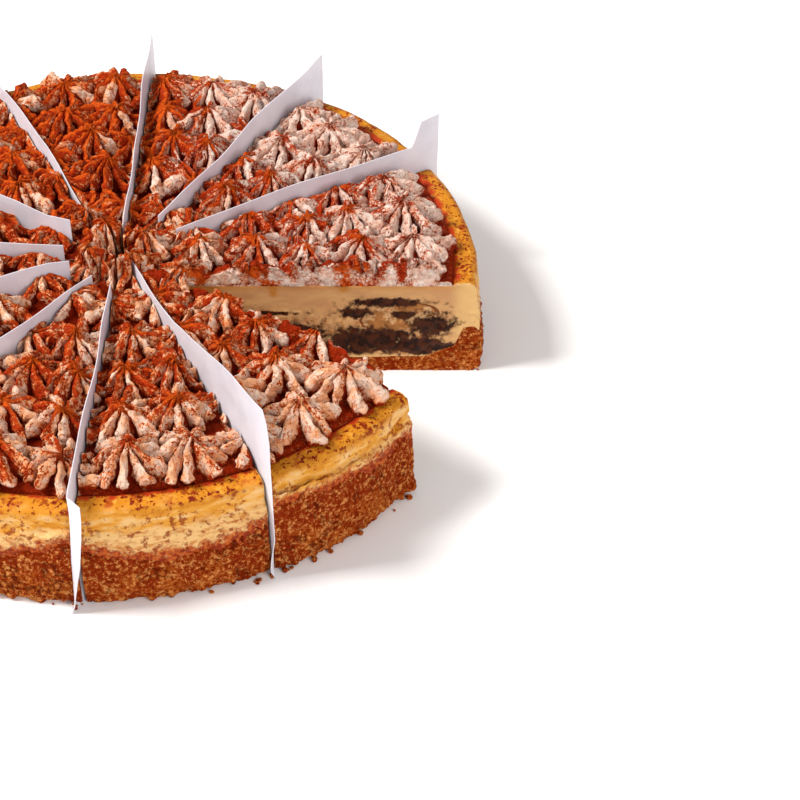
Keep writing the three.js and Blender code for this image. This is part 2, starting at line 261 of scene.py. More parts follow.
def knife_room(slice_):
    """The room of one slice: an upright wall on a closed outline, set back by the relief."""
    start = cut_line(slice_["from"], CUT_WIDTH / 2)
    end = cut_line(slice_["to"], -CUT_WIDTH / 2)
    corner = crossing(start, end)
    open_start = slice_["from"] == GAP_FRONT
    open_end = slice_["to"] == GAP_FRONT
    sides = [(corner, corner + KNIFE_REACH * start["direction"], False)]
    if open_start:
        face = cut_line(0, GAP_BACK_Y)
        shoulder = crossing(start, face)
        sides = [(corner, shoulder, True), (shoulder, shoulder + KNIFE_REACH * face["direction"], True)]
    outer = corner + KNIFE_REACH * end["direction"]
    sides += [(sides[-1][1], outer, False), (outer, corner, open_end)]
    outline, showing, inward = [], [], []
    for begin, finish, shows in sides:
        length = np.linalg.norm(finish - begin)
        count = max(2, int(length / (FACE_PITCH if shows else HIDDEN_PITCH)))
        share = np.arange(count)[:, None] / count
        outline.append(begin + share * (finish - begin))
        showing.append(np.full(count, 1.0 if shows else 0.0))
        side = (finish - begin) / length
        inward.append(np.tile([-side[1], side[0]], (count, 1)))
    outline, showing, inward = np.concatenate(outline), np.concatenate(showing), np.concatenate(inward)
    rows = np.arange(0, FACE_TOP, FACE_PITCH) if open_start or open_end else np.array([0.0])
    rows = np.concatenate([[ROOM_BOTTOM], rows, [ROOM_TOP]])
    flat = np.tile(outline, (len(rows), 1))
    points = np.column_stack([flat, np.repeat(rows, len(outline))])
    radius, _ = from_middle(points)
    strength = np.tile(showing, len(rows)) * smoothstep(points[:, 2], -1 * MM, 0.3 * MM)
    strength *= smoothstep(points[:, 2], 60 * MM, 54 * MM) * smoothstep(radius, 145 * MM, 140 * MM)
    strength *= smoothstep(radius, 1 * MM, 6 * MM)
    points[:, :2] += (strength * knife_relief(points))[:, None] * np.tile(inward, (len(rows), 1))
    return closed_mesh(f"{slice_['name']}_room", points, capped_tube(len(outline), len(rows)))


rooms = {slice_["name"]: knife_room(slice_) for slice_ in SLICES}

# ---- The crumb crust ----
# Biscuit crumbs and butter pressed into a ring tin: a flat base and a wall that was pushed
# up higher where the spoon passed. Its outside keeps the crumbs' shape and it sheds some.

CAKE_RADIUS = 127 * MM
CAKE_HEIGHT = 40.3 * MM
CRUST_WALL_TOP = 20 * MM
WALL_HEIGHTS = [  # of each slice: at its start, middle and end, in millimetres
    (27, 19.4, 26), (31, 28, 26), (22, 21, 26), (25, 20, 27), (28, 21.5, 25), (24, 19.6, 26),
    (27, 20.4, 24), (25, 19.8, 28), (26, 21, 25), (24, 20.2, 27), (25, 21.4, 30)]
TURN_PITCH = 0.24 * FINE
CRUST_OUTLINE = [  # radius, height and the pitch to the next point, all in millimetres
    (1, 0, 30), (118, 0, 3), (125.2, 0, 0.5), (126.8, 1.4, 0.5), (128.1, 6.5, 0.5),
    (128.2, 13, 0.5), (127.6, 18.4, 0.5), (125, 20.6, 1), (121.4, 20, 3), (118.4, 11.8, 4),
    (108, 6.8, 30), (1, 6, 7)]


def wall_rise(azimuth):
    """How far the crust's wall stands above its plain height: for each slice a low middle
    and high ends, joined by a power of the distance from the middle, in metres."""
    turn = np.where(azimuth < CUTS[0], azimuth + 360, azimuth)
    limits = np.array([slice_["from"] for slice_ in SLICES] + [SLICES[-1]["to"]], float)
    which = np.clip(np.searchsorted(limits, turn, side="left") - 1, 0, len(SLICES) - 1)
    heights = np.array(WALL_HEIGHTS)[which]
    place = np.clip(2 * (turn - limits[which]) / (limits[which + 1] - limits[which]) - 1, -1, 1)
    start, middle, end = heights[..., 0], heights[..., 1], heights[..., 2]
    edges = ((start + end) / 2 - middle) * np.abs(place) ** 2.4
    return (middle + edges + (end - start) / 2 * place) * MM - CRUST_WALL_TOP


def uneven_side(points):
    """The baked side as it is: it swells and shrinks slowly around, sags a little beside the
    gap, and the top of the crust's wall rises and falls, ragged with crumbs."""
    radius, azimuth = from_middle(points)
    degrees = np.degrees(azimuth)
    share = smoothstep(radius, 0.84 * CAKE_RADIUS, 0.97 * CAKE_RADIUS)
    swell = 0.55 * np.sin(3 * azimuth + 1) + 0.4 * np.sin(7 * azimuth + 2)
    front = np.sin(np.pi * np.clip((degrees + 63) / 28, 0, 1))
    swell += 1.6 * front * np.maximum(0, 1 - points[:, 2] / CAKE_HEIGHT)
    around = np.column_stack([CAKE_RADIUS * np.cos(azimuth), CAKE_RADIUS * np.sin(azimuth), 0 * radius])
    ragged = 1.3 * soft_noise(around, 5 * MM, 21) + 0.9 * soft_noise(around, 2.1 * MM, 22)
    wall_top = smoothstep(points[:, 2], 13 * MM, 19 * MM)
    below_rim = 1 - smoothstep(points[:, 2], 22 * MM, 33.5 * MM)
    moved = points.copy()
    moved[:, :2] *= (1 + share * swell * MM / np.maximum(radius, 1e-6))[:, None]
    moved[:, 2] += share * wall_top * below_rim * (wall_rise(degrees) + ragged * MM)
    return moved


def round_outline(outline):
    """Points along a closed outline at each stretch's own pitch, with its outward normals."""
    points = []
    for (radius, height, pitch), (next_radius, next_height, _) in zip(outline, outline[1:] + outline[:1]):
        wider, higher = next_radius - radius, next_height - height
        count = max(1, round(math.hypot(wider, higher) / (pitch * FINE)))
        share = np.arange(count) / count
        points.append(np.column_stack([radius + share * wider, height + share * higher]))
    points = np.concatenate(points) * MM
    along = np.roll(points, -1, axis=0) - np.roll(points, 1, axis=0)
    along /= np.maximum(np.linalg.norm(along, axis=1, keepdims=True), 1e-9)
    return points, np.column_stack([along[:, 1], -along[:, 0]])


def turned_part(name, outline, first, last, relief):
    """A stretch of a round from one azimuth to another: the outline carried round the axis,
    set out along its normals by the relief, then made uneven as the whole side is."""
    profile, outward = round_outline(outline)
    columns = np.radians(np.arange(first - 2, last + 2 + TURN_PITCH, TURN_PITCH))
    turn = np.repeat(columns, len(profile))
    radius, height = np.tile(profile, (len(columns), 1)).T
    out, up = np.tile(outward, (len(columns), 1)).T
    points = np.column_stack([radius * np.cos(turn), radius * np.sin(turn), height])
    normals = np.column_stack([out * np.cos(turn), out * np.sin(turn), up])
    points = uneven_side(points + relief(points, normals)[:, None] * normals)
    points[:, 2] = np.maximum(points[:, 2], 0)
    faces = capped_tube(len(profile), len(columns))
    return closed_mesh(name, points, [face[::-1] for face in faces])


def loose_crumbs(points):
    """1 where the crumbs were pressed loosely and stand out, 0 where they lie tight."""
    return smoothstep(soft_noise(points, 6 * MM, 34), -0.35, 0.3)


def crust_relief(points, normals):
    """Pressed crumbs of two sizes and slow dents, on the outside of the wall alone, with
    lumps at its foot, the largest of them, a bell, at the gap's front corner."""
    radius, azimuth = from_middle(points)
    height = points[:, 2]
    outside = smoothstep(radius, 122 * MM, 125 * MM) * smoothstep(height, 0.1 * MM, 0.9 * MM)
    around = CAKE_RADIUS * (azimuth - math.radians(GAP_FRONT - 1.6))
    corner = 3.4 * np.exp(-(around / (2.8 * MM)) ** 2 - ((height - 4 * MM) / (2.4 * MM)) ** 2)
    foot = smoothstep(height, 6 * MM, 1 * MM) * np.maximum(0, soft_noise(points, 3.2 * MM, 36) - 0.05)
    crumbs = loose_crumbs(points) * (1.0 * crumb_noise(points, 2.4 * MM, 31) - 0.4)
    crumbs += 0.7 * crumb_noise(points, 1.4 * MM, 32)
    dents = 0.45 * soft_noise(points, 7 * MM, 33) + 0.4 * soft_noise(points, 1.5 * MM, 35)
    return MM * outside * (crumbs - 0.4 + dents + 2.4 * foot + corner)


def joined(piece, *steps):
    """The piece after its cuts and joins, in order: pairs of what is done and with which."""
    for kind, other in steps:
        step = piece.modifiers.new(kind, "BOOLEAN")
        step.operation = kind
        step.solver = "MANIFOLD"
        if isinstance(other, bpy.types.Collection):
            step.operand_type = "COLLECTION"
            step.collection = other
        else:
            step.object = other
    depsgraph = bpy.context.evaluated_depsgraph_get()
    mesh = bpy.data.meshes.new_from_object(piece.evaluated_get(depsgraph))
    piece.modifiers.clear()
    old = piece.data
    piece.data = mesh
    bpy.data.meshes.remove(old)
    return piece


def places_of(piece):
    """The points of a piece's mesh, one row each, and the directions that they face."""
    mesh = piece.data
    places = np.empty(3 * len(mesh.vertices))
    facing = np.empty(3 * len(mesh.vertices))
    mesh.vertices.foreach_get("co", places)
    mesh.vertices.foreach_get("normal", facing)
    return places.reshape(-1, 3), facing.reshape(-1, 3)


def keep_value(piece, name, values):
    """Stores one number for each point of the mesh, for the materials to read."""
    kept = piece.data.attributes.get(name) or piece.data.attributes.new(name, "FLOAT", "POINT")
    kept.data.foreach_set("value", np.asarray(values, np.float32))


def put(tree, kind, sockets=None, **settings):
    """Adds one shader node: its settings, then its sockets from numbers or other sockets."""
    made = tree.nodes.new(kind)
    for name, value in settings.items():
        setattr(made, name, value)
    for name, value in (sockets or {}).items():
        if isinstance(value, bpy.types.NodeSocket):
            tree.links.new(value, made.inputs[name])
        else:
            made.inputs[name].default_value = value
    return made


def mixed(tree, share, first, second):
    """A colour between two, by a share from 0 to 1."""
    blend = put(tree, "ShaderNodeMix", {0: share, 6: first, 7: second}, data_type="RGBA")
    return blend.outputs[2]


def stepped(tree, value, low, high):
    """A soft step of a value: 0 below low and 1 above high."""
    sockets = {"Value": value, "From Min": low, "From Max": high}
    return put(tree, "ShaderNodeMapRange", sockets, interpolation_type="SMOOTHSTEP").outputs[0]


def worked(tree, operation, first, second=0.0):
    """A sum, product or other calculation of two values."""
    return put(tree, "ShaderNodeMath", {0: first, 1: second}, operation=operation).outputs[0]


def times(tree, first, second):
    """The product of two values."""
    return worked(tree, "MULTIPLY", first, second)


def plus(tree, first, second):
    """The sum of two values."""
    return worked(tree, "ADD", first, second)


def speckle(tree, place, size, detail=2.0, rough=0.5):
    """Cloudy spots of that size, in the place's own units, from 0 to 1."""
    sockets = {"Vector": place, "Scale": 1 / size, "Detail": detail, "Roughness": rough}
    return put(tree, "ShaderNodeTexNoise", sockets).outputs["Fac"]


def swung(tree, spots, reach):
    """Spots from 0 to 1 as a swing to both sides of nothing, over that reach in all."""
    return times(tree, worked(tree, "SUBTRACT", spots, 0.5), reach)


def kept_value(tree, name):
    """A number that was stored for each point of the mesh."""
    return put(tree, "ShaderNodeAttribute", attribute_name=name).outputs["Fac"]


def finish_on(name, roughness, gloss=0.5):
    """A new material with its node tree, its shader and the place on the object."""
    material = bpy.data.materials.new(name)
    material.use_nodes = True
    tree = material.node_tree
    shader = tree.nodes["Principled BSDF"]
    shader.inputs["Roughness"].default_value = roughness
    shader.inputs["Specular IOR Level"].default_value = gloss
    place = put(tree, "ShaderNodeTexCoord").outputs["Object"]
    return material, tree, shader, place


def bumped(tree, shader, height, strength, distance):
    """Feeds a height into the shader's normal."""
    bump = put(tree, "ShaderNodeBump", {"Height": height, "Strength": strength, "Distance": distance})
    tree.links.new(bump.outputs["Normal"], shader.inputs["Normal"])


def dressed(piece, finish, crease=50):
    """Gives a piece its material, with a crisp edge where its faces meet at a larger angle."""
    piece.data.materials.clear()
    piece.data.materials.append(finish)
    piece.data.set_sharp_from_angle(angle=math.radians(crease))


CRUST_GOLD = (0.46, 0.095, 0.012, 1)
CRUST_BROWN = (0.22, 0.019, 0.001, 1)
CRUST_RED = (0.30, 0.031, 0.003, 1)
CRUST_PALE = (0.76, 0.31, 0.085, 1)
# A near-black, used as painted shade in the cracks between the crumbs
CRUST_CRACK_SHADE = (0.075, 0.006, 0.001, 1)

crust_finish, tree, shader, place = finish_on("crumb_crust", roughness=0.85, gloss=0.03)
patches = stepped(tree, speckle(tree, place, 11 * MM, 4, 0.6), 0.42, 0.58)
grains = speckle(tree, place, 1.4 * MM, 4, 0.7)
upper = put(tree, "ShaderNodeSeparateXYZ", {"Vector": place}).outputs["Z"]
patches = worked(tree, "MAXIMUM", patches, stepped(tree, upper, 11 * MM, 19 * MM))
colour = mixed(tree, patches, CRUST_GOLD, CRUST_RED)
flecks = stepped(tree, speckle(tree, place, 3.4 * MM, 5, 0.7), 0.55, 0.64)
colour = mixed(tree, flecks, colour, CRUST_PALE)
colour = mixed(tree, stepped(tree, grains, 0.53, 0.64), colour, CRUST_PALE)
colour = mixed(tree, stepped(tree, grains, 0.49, 0.40), colour, CRUST_BROWN)
# Painted shade in the cracks between the pressed crumbs, where the stored crumb value is low
crack_shade = times(tree, stepped(tree, kept_value(tree, "crumb"), 0.22, 0.0), 0.8)
colour = mixed(tree, crack_shade, colour, CRUST_CRACK_SHADE)
tree.links.new(colour, shader.inputs["Base Color"])
bumped(tree, shader, speckle(tree, place, 0.8 * MM, 5, 0.75), 1.0, 1.1 * MM)

crusts = {}
for slice_ in SLICES:
    name = slice_["name"]
    piece = turned_part(f"{name}_crumb_crust", CRUST_OUTLINE, slice_["from"], slice_["to"], crust_relief)
    whole = piece.copy()
    whole.data = piece.data.copy()
    bpy.context.scene.collection.objects.link(whole)
    crusts[name] = whole
    joined(piece, ("INTERSECT", rooms[name]))
    places, _ = places_of(piece)
    # The crumb value is low in the cracks between crumbs, where the crust's colour paints shade
    keep_value(piece, "crumb", crumb_noise(places, 2.4 * MM, 31) + 0.4 * (1 - loose_crumbs(places)))
    dressed(piece, crust_finish)
    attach(piece, "root")
    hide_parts(f"{name}_crust")

CRUMBS = 44
CRUMB_SPOTS = [-64.5, -62, -38, -91.5]  # the azimuths where every third crumb lies
CRUMB_COLUMNS = 8
CRUMB_LIFTS = [-60, -30, 0, 30, 60]


def chance(number):
    """A repeatable draw from 0 to 1: the part after the point of a large multiple of a sine."""
    value = np.sin(np.asarray(number, float) * 12.9898) * 43758.5453
    return value - np.floor(value)


def lumps(points, size, seed):
    """Soft noise of its own in each of the three directions, from -1 to 1."""
    return np.column_stack([soft_noise(points, size, seed + axis) for axis in range(3)])


def crumb_pile():
    """Crumbs that came off the crust's foot and lie against it: each a ball of a few columns
    and rows, its size and place drawn, dented by soft noise and resting on the table."""
    turns = np.radians(np.arange(CRUMB_COLUMNS) * 360 / CRUMB_COLUMNS)
    turn, lift = np.meshgrid(turns, np.radians(CRUMB_LIFTS))
    ball = np.column_stack([
        (np.cos(lift) * np.cos(turn)).ravel(), (np.cos(lift) * np.sin(turn)).ravel(), np.sin(lift).ravel()])
    ball = np.vstack([ball, [0, 0, -1], [0, 0, 1]])
    number = np.arange(CRUMBS)
    size = (0.35 + 0.85 * chance(number + 0.3) ** 2) * MM
    azimuth = 360 * chance(number + 0.5)
    spot = np.array(CRUMB_SPOTS)[number % len(CRUMB_SPOTS)]
    azimuth = np.radians(np.where(number % 3 == 0, spot + 3 * (chance(number + 0.7) - 0.5), azimuth))
    in_gap = np.abs(np.degrees(azimuth) % 360 - 340) < 14.5
    azimuth = np.where(in_gap, azimuth - 0.7, azimuth)
    out = CAKE_RADIUS + (0.2 + 2.2 * chance(number + 0.9)) * MM
    middle = np.column_stack([out * np.cos(azimuth), out * np.sin(azimuth), 0.8 * size])
    points = middle[:, None] + size[:, None, None] * ball[None] * (1, 1, 0.8)
    points = points.reshape(-1, 3)
    points += 0.25 * MM * lumps(points, 0.9 * MM, 37)
    points[:, 2] = np.maximum(points[:, 2], 0)
    beside = [(i, (i + 1) % CRUMB_COLUMNS) for i in range(CRUMB_COLUMNS)]
    last = CRUMB_COLUMNS * (len(CRUMB_LIFTS) - 1)
    under = len(ball) - 2
    faces_of_one = tube_faces(CRUMB_COLUMNS, len(CRUMB_LIFTS), True)
    faces_of_one += [[after, here, under] for here, after in beside]
    faces_of_one += [[last + here, last + after, under + 1] for here, after in beside]
    faces = [[len(ball) * n + i for i in face] for n in range(CRUMBS) for face in faces_of_one]
    return closed_mesh("fallen_crumbs", points, faces)


fallen = crumb_pile()
keep_value(fallen, "crumb", np.ones(len(fallen.data.vertices)))
fallen.data.materials.append(crust_finish)
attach(fallen, "root")

# ---- The baked filling ----
# Cream cheese filling poured over the crust and baked until its rim browned and rose a
# little above the middle. Two slices show biscuits and coffee in it at the gap.

FILLING_OUTLINE = [  # radius, height and the pitch to the next point, all in millimetres
    (1, 3, 30), (122, 3, 8), (122, 13, 3), (126, 14.6, 0.5), (127.2, 18.6, 0.5), (126.8, 26, 0.5),
    (125.7, 33.5, 0.5), (125.5, 38, 0.35), (124.9, 39.4, 0.35), (123.3, 40.3, 0.5), (118.9, 40.3, 0.5),
    (117.4, 39.1, 4), (1, 39.1, 8)]


def filling_relief(points, normals):
    """Fine wrinkles, pits that burst bubbles left half way up, and a lumpy browned rim."""
    radius, _ = from_middle(points)
    height = points[:, 2]
    side = smoothstep(radius, 116 * MM, 118 * MM)
    band = smoothstep(height, 36 * MM, 33 * MM)
    pits = np.maximum(0, soft_noise(points, 2.2 * MM, 41) - 0.35)
    wrinkles = 0.25 * soft_noise(points * (1, 1, 2), 3 * MM, 42) + 0.12 * soft_noise(points, 1.1 * MM, 43)
    slow = 0.35 * soft_noise(points, 9 * MM, 44)
    crumbs = np.maximum(0, crumb_noise(points, 2.2 * MM, 45) - 0.45)
    beside_crust = smoothstep(height, 23 * MM, 19 * MM) * (0.8 * crumb_noise(points, 1.4 * MM, 32) - 0.3)
    return MM * side * (slow + wrinkles * (0.5 + 0.5 * band) + band * (crumbs - 1.6 * pits) + beside_crust)


RIM_GOLD = (0.55, 0.205, 0.012, 1)
RIM_ORANGE = (0.38, 0.072, 0.005, 1)
RIM_YELLOW = (0.66, 0.30, 0.038, 1)
SIDE_PALE = (0.71, 0.44, 0.175, 1)
SIDE_TAN = (0.49, 0.18, 0.035, 1)
FACE_TAN = (0.54, 0.275, 0.12, 1)
FACE_GOLD = (0.50, 0.20, 0.040, 1)
SPONGE_PALE = (0.66, 0.40, 0.19, 1)
SPONGE_TAN = (0.40, 0.16, 0.045, 1)
# Cocoa: its own red, a dark copy for painted shade that also colours the dark cocoa grains on the rim, and a
# lighter orange copy for painted highlight
COCOA_SHADE_AND_DARK_GRAIN = (0.17, 0.009, 0.001, 1)
COCOA_RED = (0.40, 0.032, 0.005, 1)
COCOA_HIGHLIGHT = (0.60, 0.084, 0.008, 1)
COFFEE_DARK = (0.018, 0.004, 0.0015, 1)
COFFEE_BROWN = (0.065, 0.016, 0.005, 1)


def coffee_soak():
    """Coffee that soaked into food, as a group of nodes: how wet a place is gets a ragged
    edge of cloudy spots, and there the colour turns to patches of two coffee browns."""
    made = bpy.data.node_groups.new("coffee_soak", "ShaderNodeTree")
    for label, kind in (("Colour", "NodeSocketColor"), ("Wet", "NodeSocketFloat"),
                        ("Place", "NodeSocketVector"), ("Edge Scale", "NodeSocketFloat")):
        made.interface.new_socket(name=label, in_out="INPUT", socket_type=kind)
    made.interface.new_socket(name="Colour", in_out="OUTPUT", socket_type="NodeSocketColor")
    given = put(made, "NodeGroupInput").outputs
    sockets = {"Vector": given["Place"], "Scale": given["Edge Scale"], "Detail": 4, "Roughness": 0.65}
    spots = put(made, "ShaderNodeTexNoise", sockets).outputs["Fac"]
    wet = stepped(made, plus(made, given["Wet"], swung(made, spots, 1.6)), 0.2, 0.6)
    patches = stepped(made, speckle(made, given["Place"], 3 * MM, 3), 0.4, 0.6)
    soaked = mixed(made, wet, given["Colour"], mixed(made, patches, COFFEE_DARK, COFFEE_BROWN))
    made.links.new(soaked, put(made, "NodeGroupOutput").inputs["Colour"])
    return made


def soaked_in(tree, soak_group, colour, place, edge_size):
    """A colour after the coffee: the group placed in a material, with its ragged edge's size."""
    placed = tree.nodes.new("ShaderNodeGroup")
    placed.node_tree = soak_group
    tree.links.new(colour, placed.inputs["Colour"])
    tree.links.new(place, placed.inputs["Place"])
    tree.links.new(kept_value(tree, "soak"), placed.inputs["Wet"])
    placed.inputs["Edge Scale"].default_value = 1 / edge_size
    return placed.outputs["Colour"]


soak_group = coffee_soak()
filling_finish, tree, shader, place = finish_on("baked_filling", roughness=0.55, gloss=0.12)
parts = put(tree, "ShaderNodeSeparateXYZ", {"Vector": place})
flat = put(tree, "ShaderNodeCombineXYZ", {"X": parts.outputs["X"], "Y": parts.outputs["Y"]})
radius = put(tree, "ShaderNodeVectorMath", {0: flat.outputs[0]}, operation="LENGTH").outputs["Value"]
lying = put(tree, "ShaderNodeVectorMath", {0: place, 1: (1, 1, 3)}, operation="MULTIPLY").outputs["Vector"]

# The pale side, and the browned band under the rim
height = plus(tree, parts.outputs["Z"], swung(tree, speckle(tree, place, 7 * MM, 3), 9 * MM))
streaks = speckle(tree, lying, 9 * MM, 4, 0.6)
side = mixed(tree, stepped(tree, speckle(tree, lying, 5 * MM, 4, 0.65), 0.46, 0.68), SIDE_PALE, SIDE_TAN)
band = mixed(tree, stepped(tree, streaks, 0.44, 0.64), RIM_YELLOW, SIDE_PALE)
band = mixed(tree, stepped(tree, streaks, 0.50, 0.34), band, RIM_GOLD)
colour = mixed(tree, stepped(tree, height, 29 * MM, 33 * MM), side, band)

# The golden rim with its orange patches, the grains of cocoa on it, and small brown pits
ledge = mixed(tree, stepped(tree, speckle(tree, place, 5 * MM, 4, 0.6), 0.54, 0.66), RIM_GOLD, RIM_ORANGE)
ledge = mixed(tree, stepped(tree, speckle(tree, place, 3.4 * MM, 3, 0.6), 0.55, 0.68), ledge, RIM_YELLOW)
colour = mixed(tree, stepped(tree, height, 36.5 * MM, 39.5 * MM), colour, ledge)
clumps = swung(tree, speckle(tree, place, 7 * MM, 2), 0.35)
grain = plus(tree, speckle(tree, place, 1.5 * MM, 3, 0.55), clumps)
on_top = stepped(tree, parts.outputs["Z"], 37 * MM, 39.6 * MM)
colour = mixed(tree, times(tree, stepped(tree, grain, 0.56, 0.62), on_top), colour, COCOA_SHADE_AND_DARK_GRAIN)
pit = plus(tree, speckle(tree, place, 1.8 * MM, 3, 0.6), times(tree, clumps, 1.5))
colour = mixed(tree, times(tree, stepped(tree, pit, 0.56, 0.68), 0.8), colour, CRUST_BROWN)

# The ragged edge of the crust, and the cocoa that lies inside the rim
crumbly = swung(tree, speckle(tree, place, 2.4 * MM, 5, 0.7), 4)
near_crust = stepped(tree, plus(tree, kept_value(tree, "above_crust"), crumbly), 1.1, 0.1)
browned = stepped(tree, speckle(tree, place, 1.4 * MM, 4, 0.7), 0.44, 0.58)
colour = mixed(tree, near_crust, colour, mixed(tree, browned, CRUST_BROWN, CRUST_GOLD))
inner_wave = swung(tree, speckle(tree, place, 3 * MM, 4, 0.6), 9 * MM)
inner = stepped(tree, plus(tree, radius, inner_wave), 120.6 * MM, 118.6 * MM)
colour = mixed(tree, times(tree, inner, on_top), colour, COCOA_RED)

# The cut faces: smooth and tan, golden in places, open and brown in the layers, and soaked
streaked = stepped(tree, speckle(tree, lying, 14 * MM, 4, 0.6), 0.35, 0.65)
face = mixed(tree, times(tree, streaked, 0.4), FACE_TAN, SIDE_PALE)
face = mixed(tree, kept_value(tree, "golden"), face, FACE_GOLD)
face = mixed(tree, kept_value(tree, "pale"), face, SIDE_PALE)
torn = stepped(tree, speckle(tree, place, 2.4 * MM, 4, 0.65), 0.50, 0.62)
face = mixed(tree, times(tree, torn, kept_value(tree, "layered")), face, SPONGE_TAN)
face = soaked_in(tree, soak_group, face, place, 2.6 * MM)
colour = mixed(tree, kept_value(tree, "cut"), colour, face)
tree.links.new(colour, shader.inputs["Base Color"])
bumped(tree, shader, speckle(tree, place, 1.2 * MM, 5, 0.65), 0.5, 0.5 * MM)

# Ladyfingers lie in the filling beside the gap. Each row: which slice, distance along its
# face, height, half length, half height, all in millimetres, and tilt in degrees.
FINGER_DEPTH = 46
FINGER_STRAIGHT = 30
FINGER_SIDES = 72
LADYFINGERS = {
    "ladyfinger_front_outer": ("slice_02", 99, 17.5, 12.5, 6.4, 5),
    "ladyfinger_front_middle": ("slice_02", 66, 16.4, 17, 6, -4),
    "ladyfinger_front_inner": ("slice_02", 34, 16.2, 11.5, 5, 6),
    "ladyfinger_back_outer": ("slice_03", 98.5, 25.2, 14.5, 6.2, 9),
    "ladyfinger_back_middle": ("slice_03", 86, 13.6, 17, 4.2, -3),
    "ladyfinger_back_inner": ("slice_03", 59, 18.6, 8.6, 3.8, -3)}


def gap_face(slice_name):
    """The middle point and the direction of a slice's face at the gap, and inwards from it."""
    if slice_name == "slice_03":
        return np.array([0, GAP_BACK_Y]), np.array([1.0, 0.0]), np.array([0.0, 1.0])
    line = cut_line(GAP_FRONT, 0)
    return np.zeros(2), line["direction"], -line["normal"]


def on_finger(places, slice_name, along, high, half_long, half_high, tilt):
    """Distance from a finger's middle line as a share of its half size, 1 at its skin."""
    origin, direction, _ = gap_face(slice_name)
    across = (places[:, :2] - origin) @ direction - along * MM
    up = places[:, 2] - high * MM
    turn = math.radians(tilt)
    first = across * math.cos(turn) + up * math.sin(turn)
    second = up * math.cos(turn) - across * math.sin(turn)
    return np.hypot(first / (half_long * MM), second / (half_high * MM))


def ladyfinger(name, slice_name, along, high, half_long, half_high, tilt):
    """A long biscuit: an ellipse across, lumpy by soft noise, ending round inside the slice."""
    around = np.linspace(0, 2 * np.pi, FINGER_SIDES, endpoint=False)
    deep = np.concatenate([np.linspace(-8, FINGER_STRAIGHT, 24),
                           np.linspace(FINGER_STRAIGHT + 1.5, FINGER_DEPTH, 14)]) * MM
    past = np.maximum(deep - FINGER_STRAIGHT * MM, 0) / (FINGER_DEPTH * MM - FINGER_STRAIGHT * MM + 1e-5)
    end = np.sqrt(np.clip(1 - past ** 2, 0, 1))
    turn = math.radians(tilt)
    first = half_long * MM * np.outer(end, np.cos(around)).ravel()
    second = half_high * MM * np.outer(end, np.sin(around)).ravel()
    across = first * math.cos(turn) - second * math.sin(turn)
    up = first * math.sin(turn) + second * math.cos(turn)
    origin, direction, inward = gap_face(slice_name)
    depth = np.repeat(deep, len(around))
    flat = origin + (along * MM + across)[:, None] * direction + depth[:, None] * inward
    points = np.column_stack([flat, high * MM + up])
    lump = 1.0 * MM * soft_noise(points, 5 * MM, 51) + 0.6 * MM * soft_noise(points, 2.1 * MM, 52)
    outward = np.column_stack([across[:, None] * direction, up])
    outward /= np.maximum(np.linalg.norm(outward, axis=1, keepdims=True), 1e-6)
    points += lump[:, None] * outward
    faces = capped_tube(len(around), len(deep))
    if slice_name == "slice_03":
        faces = [face[::-1] for face in faces]
    return closed_mesh(name, points, faces)


SKIN_BROWN = (0.20, 0.055, 0.014, 1)

sponge_finish, tree, shader, place = finish_on("ladyfinger_sponge", roughness=0.8, gloss=0.15)
pores = speckle(tree, place, 1.3 * MM, 4, 0.65)
toasted = stepped(tree, speckle(tree, place, 5 * MM, 3, 0.6), 0.45, 0.60)
colour = mixed(tree, toasted, SPONGE_PALE, SPONGE_TAN)
colour = mixed(tree, stepped(tree, pores, 0.52, 0.64), colour, SPONGE_TAN)
# Painted shade in the pores: the skin's brown where the pores of the bump lie lowest
colour = mixed(tree, stepped(tree, pores, 0.42, 0.32), colour, SKIN_BROWN)
skin_edge = swung(tree, speckle(tree, place, 2.6 * MM, 4, 0.65), 2.8)
skin = stepped(tree, plus(tree, kept_value(tree, "skin"), skin_edge), 0.6, 1.0)
colour = mixed(tree, skin, colour, SKIN_BROWN)
colour = soaked_in(tree, soak_group, colour, place, 3 * MM)
tree.links.new(colour, shader.inputs["Base Color"])
bumped(tree, shader, pores, 1.0, 0.9 * MM)


COFFEE = {  # in each gap face: distance along it, height, half length and half height, in millimetres
    "slice_02": [(30, 12, 14, 2.6), (64, 9.6, 20, 1.6), (84, 17, 4, 5), (98, 10, 16, 1.6), (48, 17, 4, 4)],
    "slice_03": [
        (52, 27, 9, 0.8), (61, 18, 10, 4.6), (88, 14.5, 18, 5.6), (104, 12, 14, 4), (110, 22, 8, 5),
        (76, 10, 14, 2.6), (95, 31.6, 12, 2), (83, 27, 6, 2.4), (100, 26, 5, 2)]}
GOLDEN_DRIPS = [(35.5, 34.6), (55.6, 34.3), (80, 36.5)]  # distance from the middle and lowest height


def beside_cuts(places, facing, slice_):
    """For each point, 1 where it lies on one of the slice's cut faces and 0 elsewhere, and
    its distance to the nearest of those faces' planes."""
    lines = [cut_line(slice_["from"], CUT_WIDTH / 2), cut_line(slice_["to"], -CUT_WIDTH / 2)]
    if slice_["from"] == GAP_FRONT:
        lines.append(cut_line(0, GAP_BACK_Y))
    cut, nearest = np.zeros(len(places)), np.ones(len(places))
    for line in lines:
        away = np.abs(places[:, :2] @ line["normal"] - line["offset"])
        turned = np.abs(facing[:, :2] @ line["normal"])
        cut = np.maximum(cut, (away < 1.5 * MM) * smoothstep(turned, 0.25, 0.6))
        nearest = np.minimum(nearest, away)
    return cut, nearest


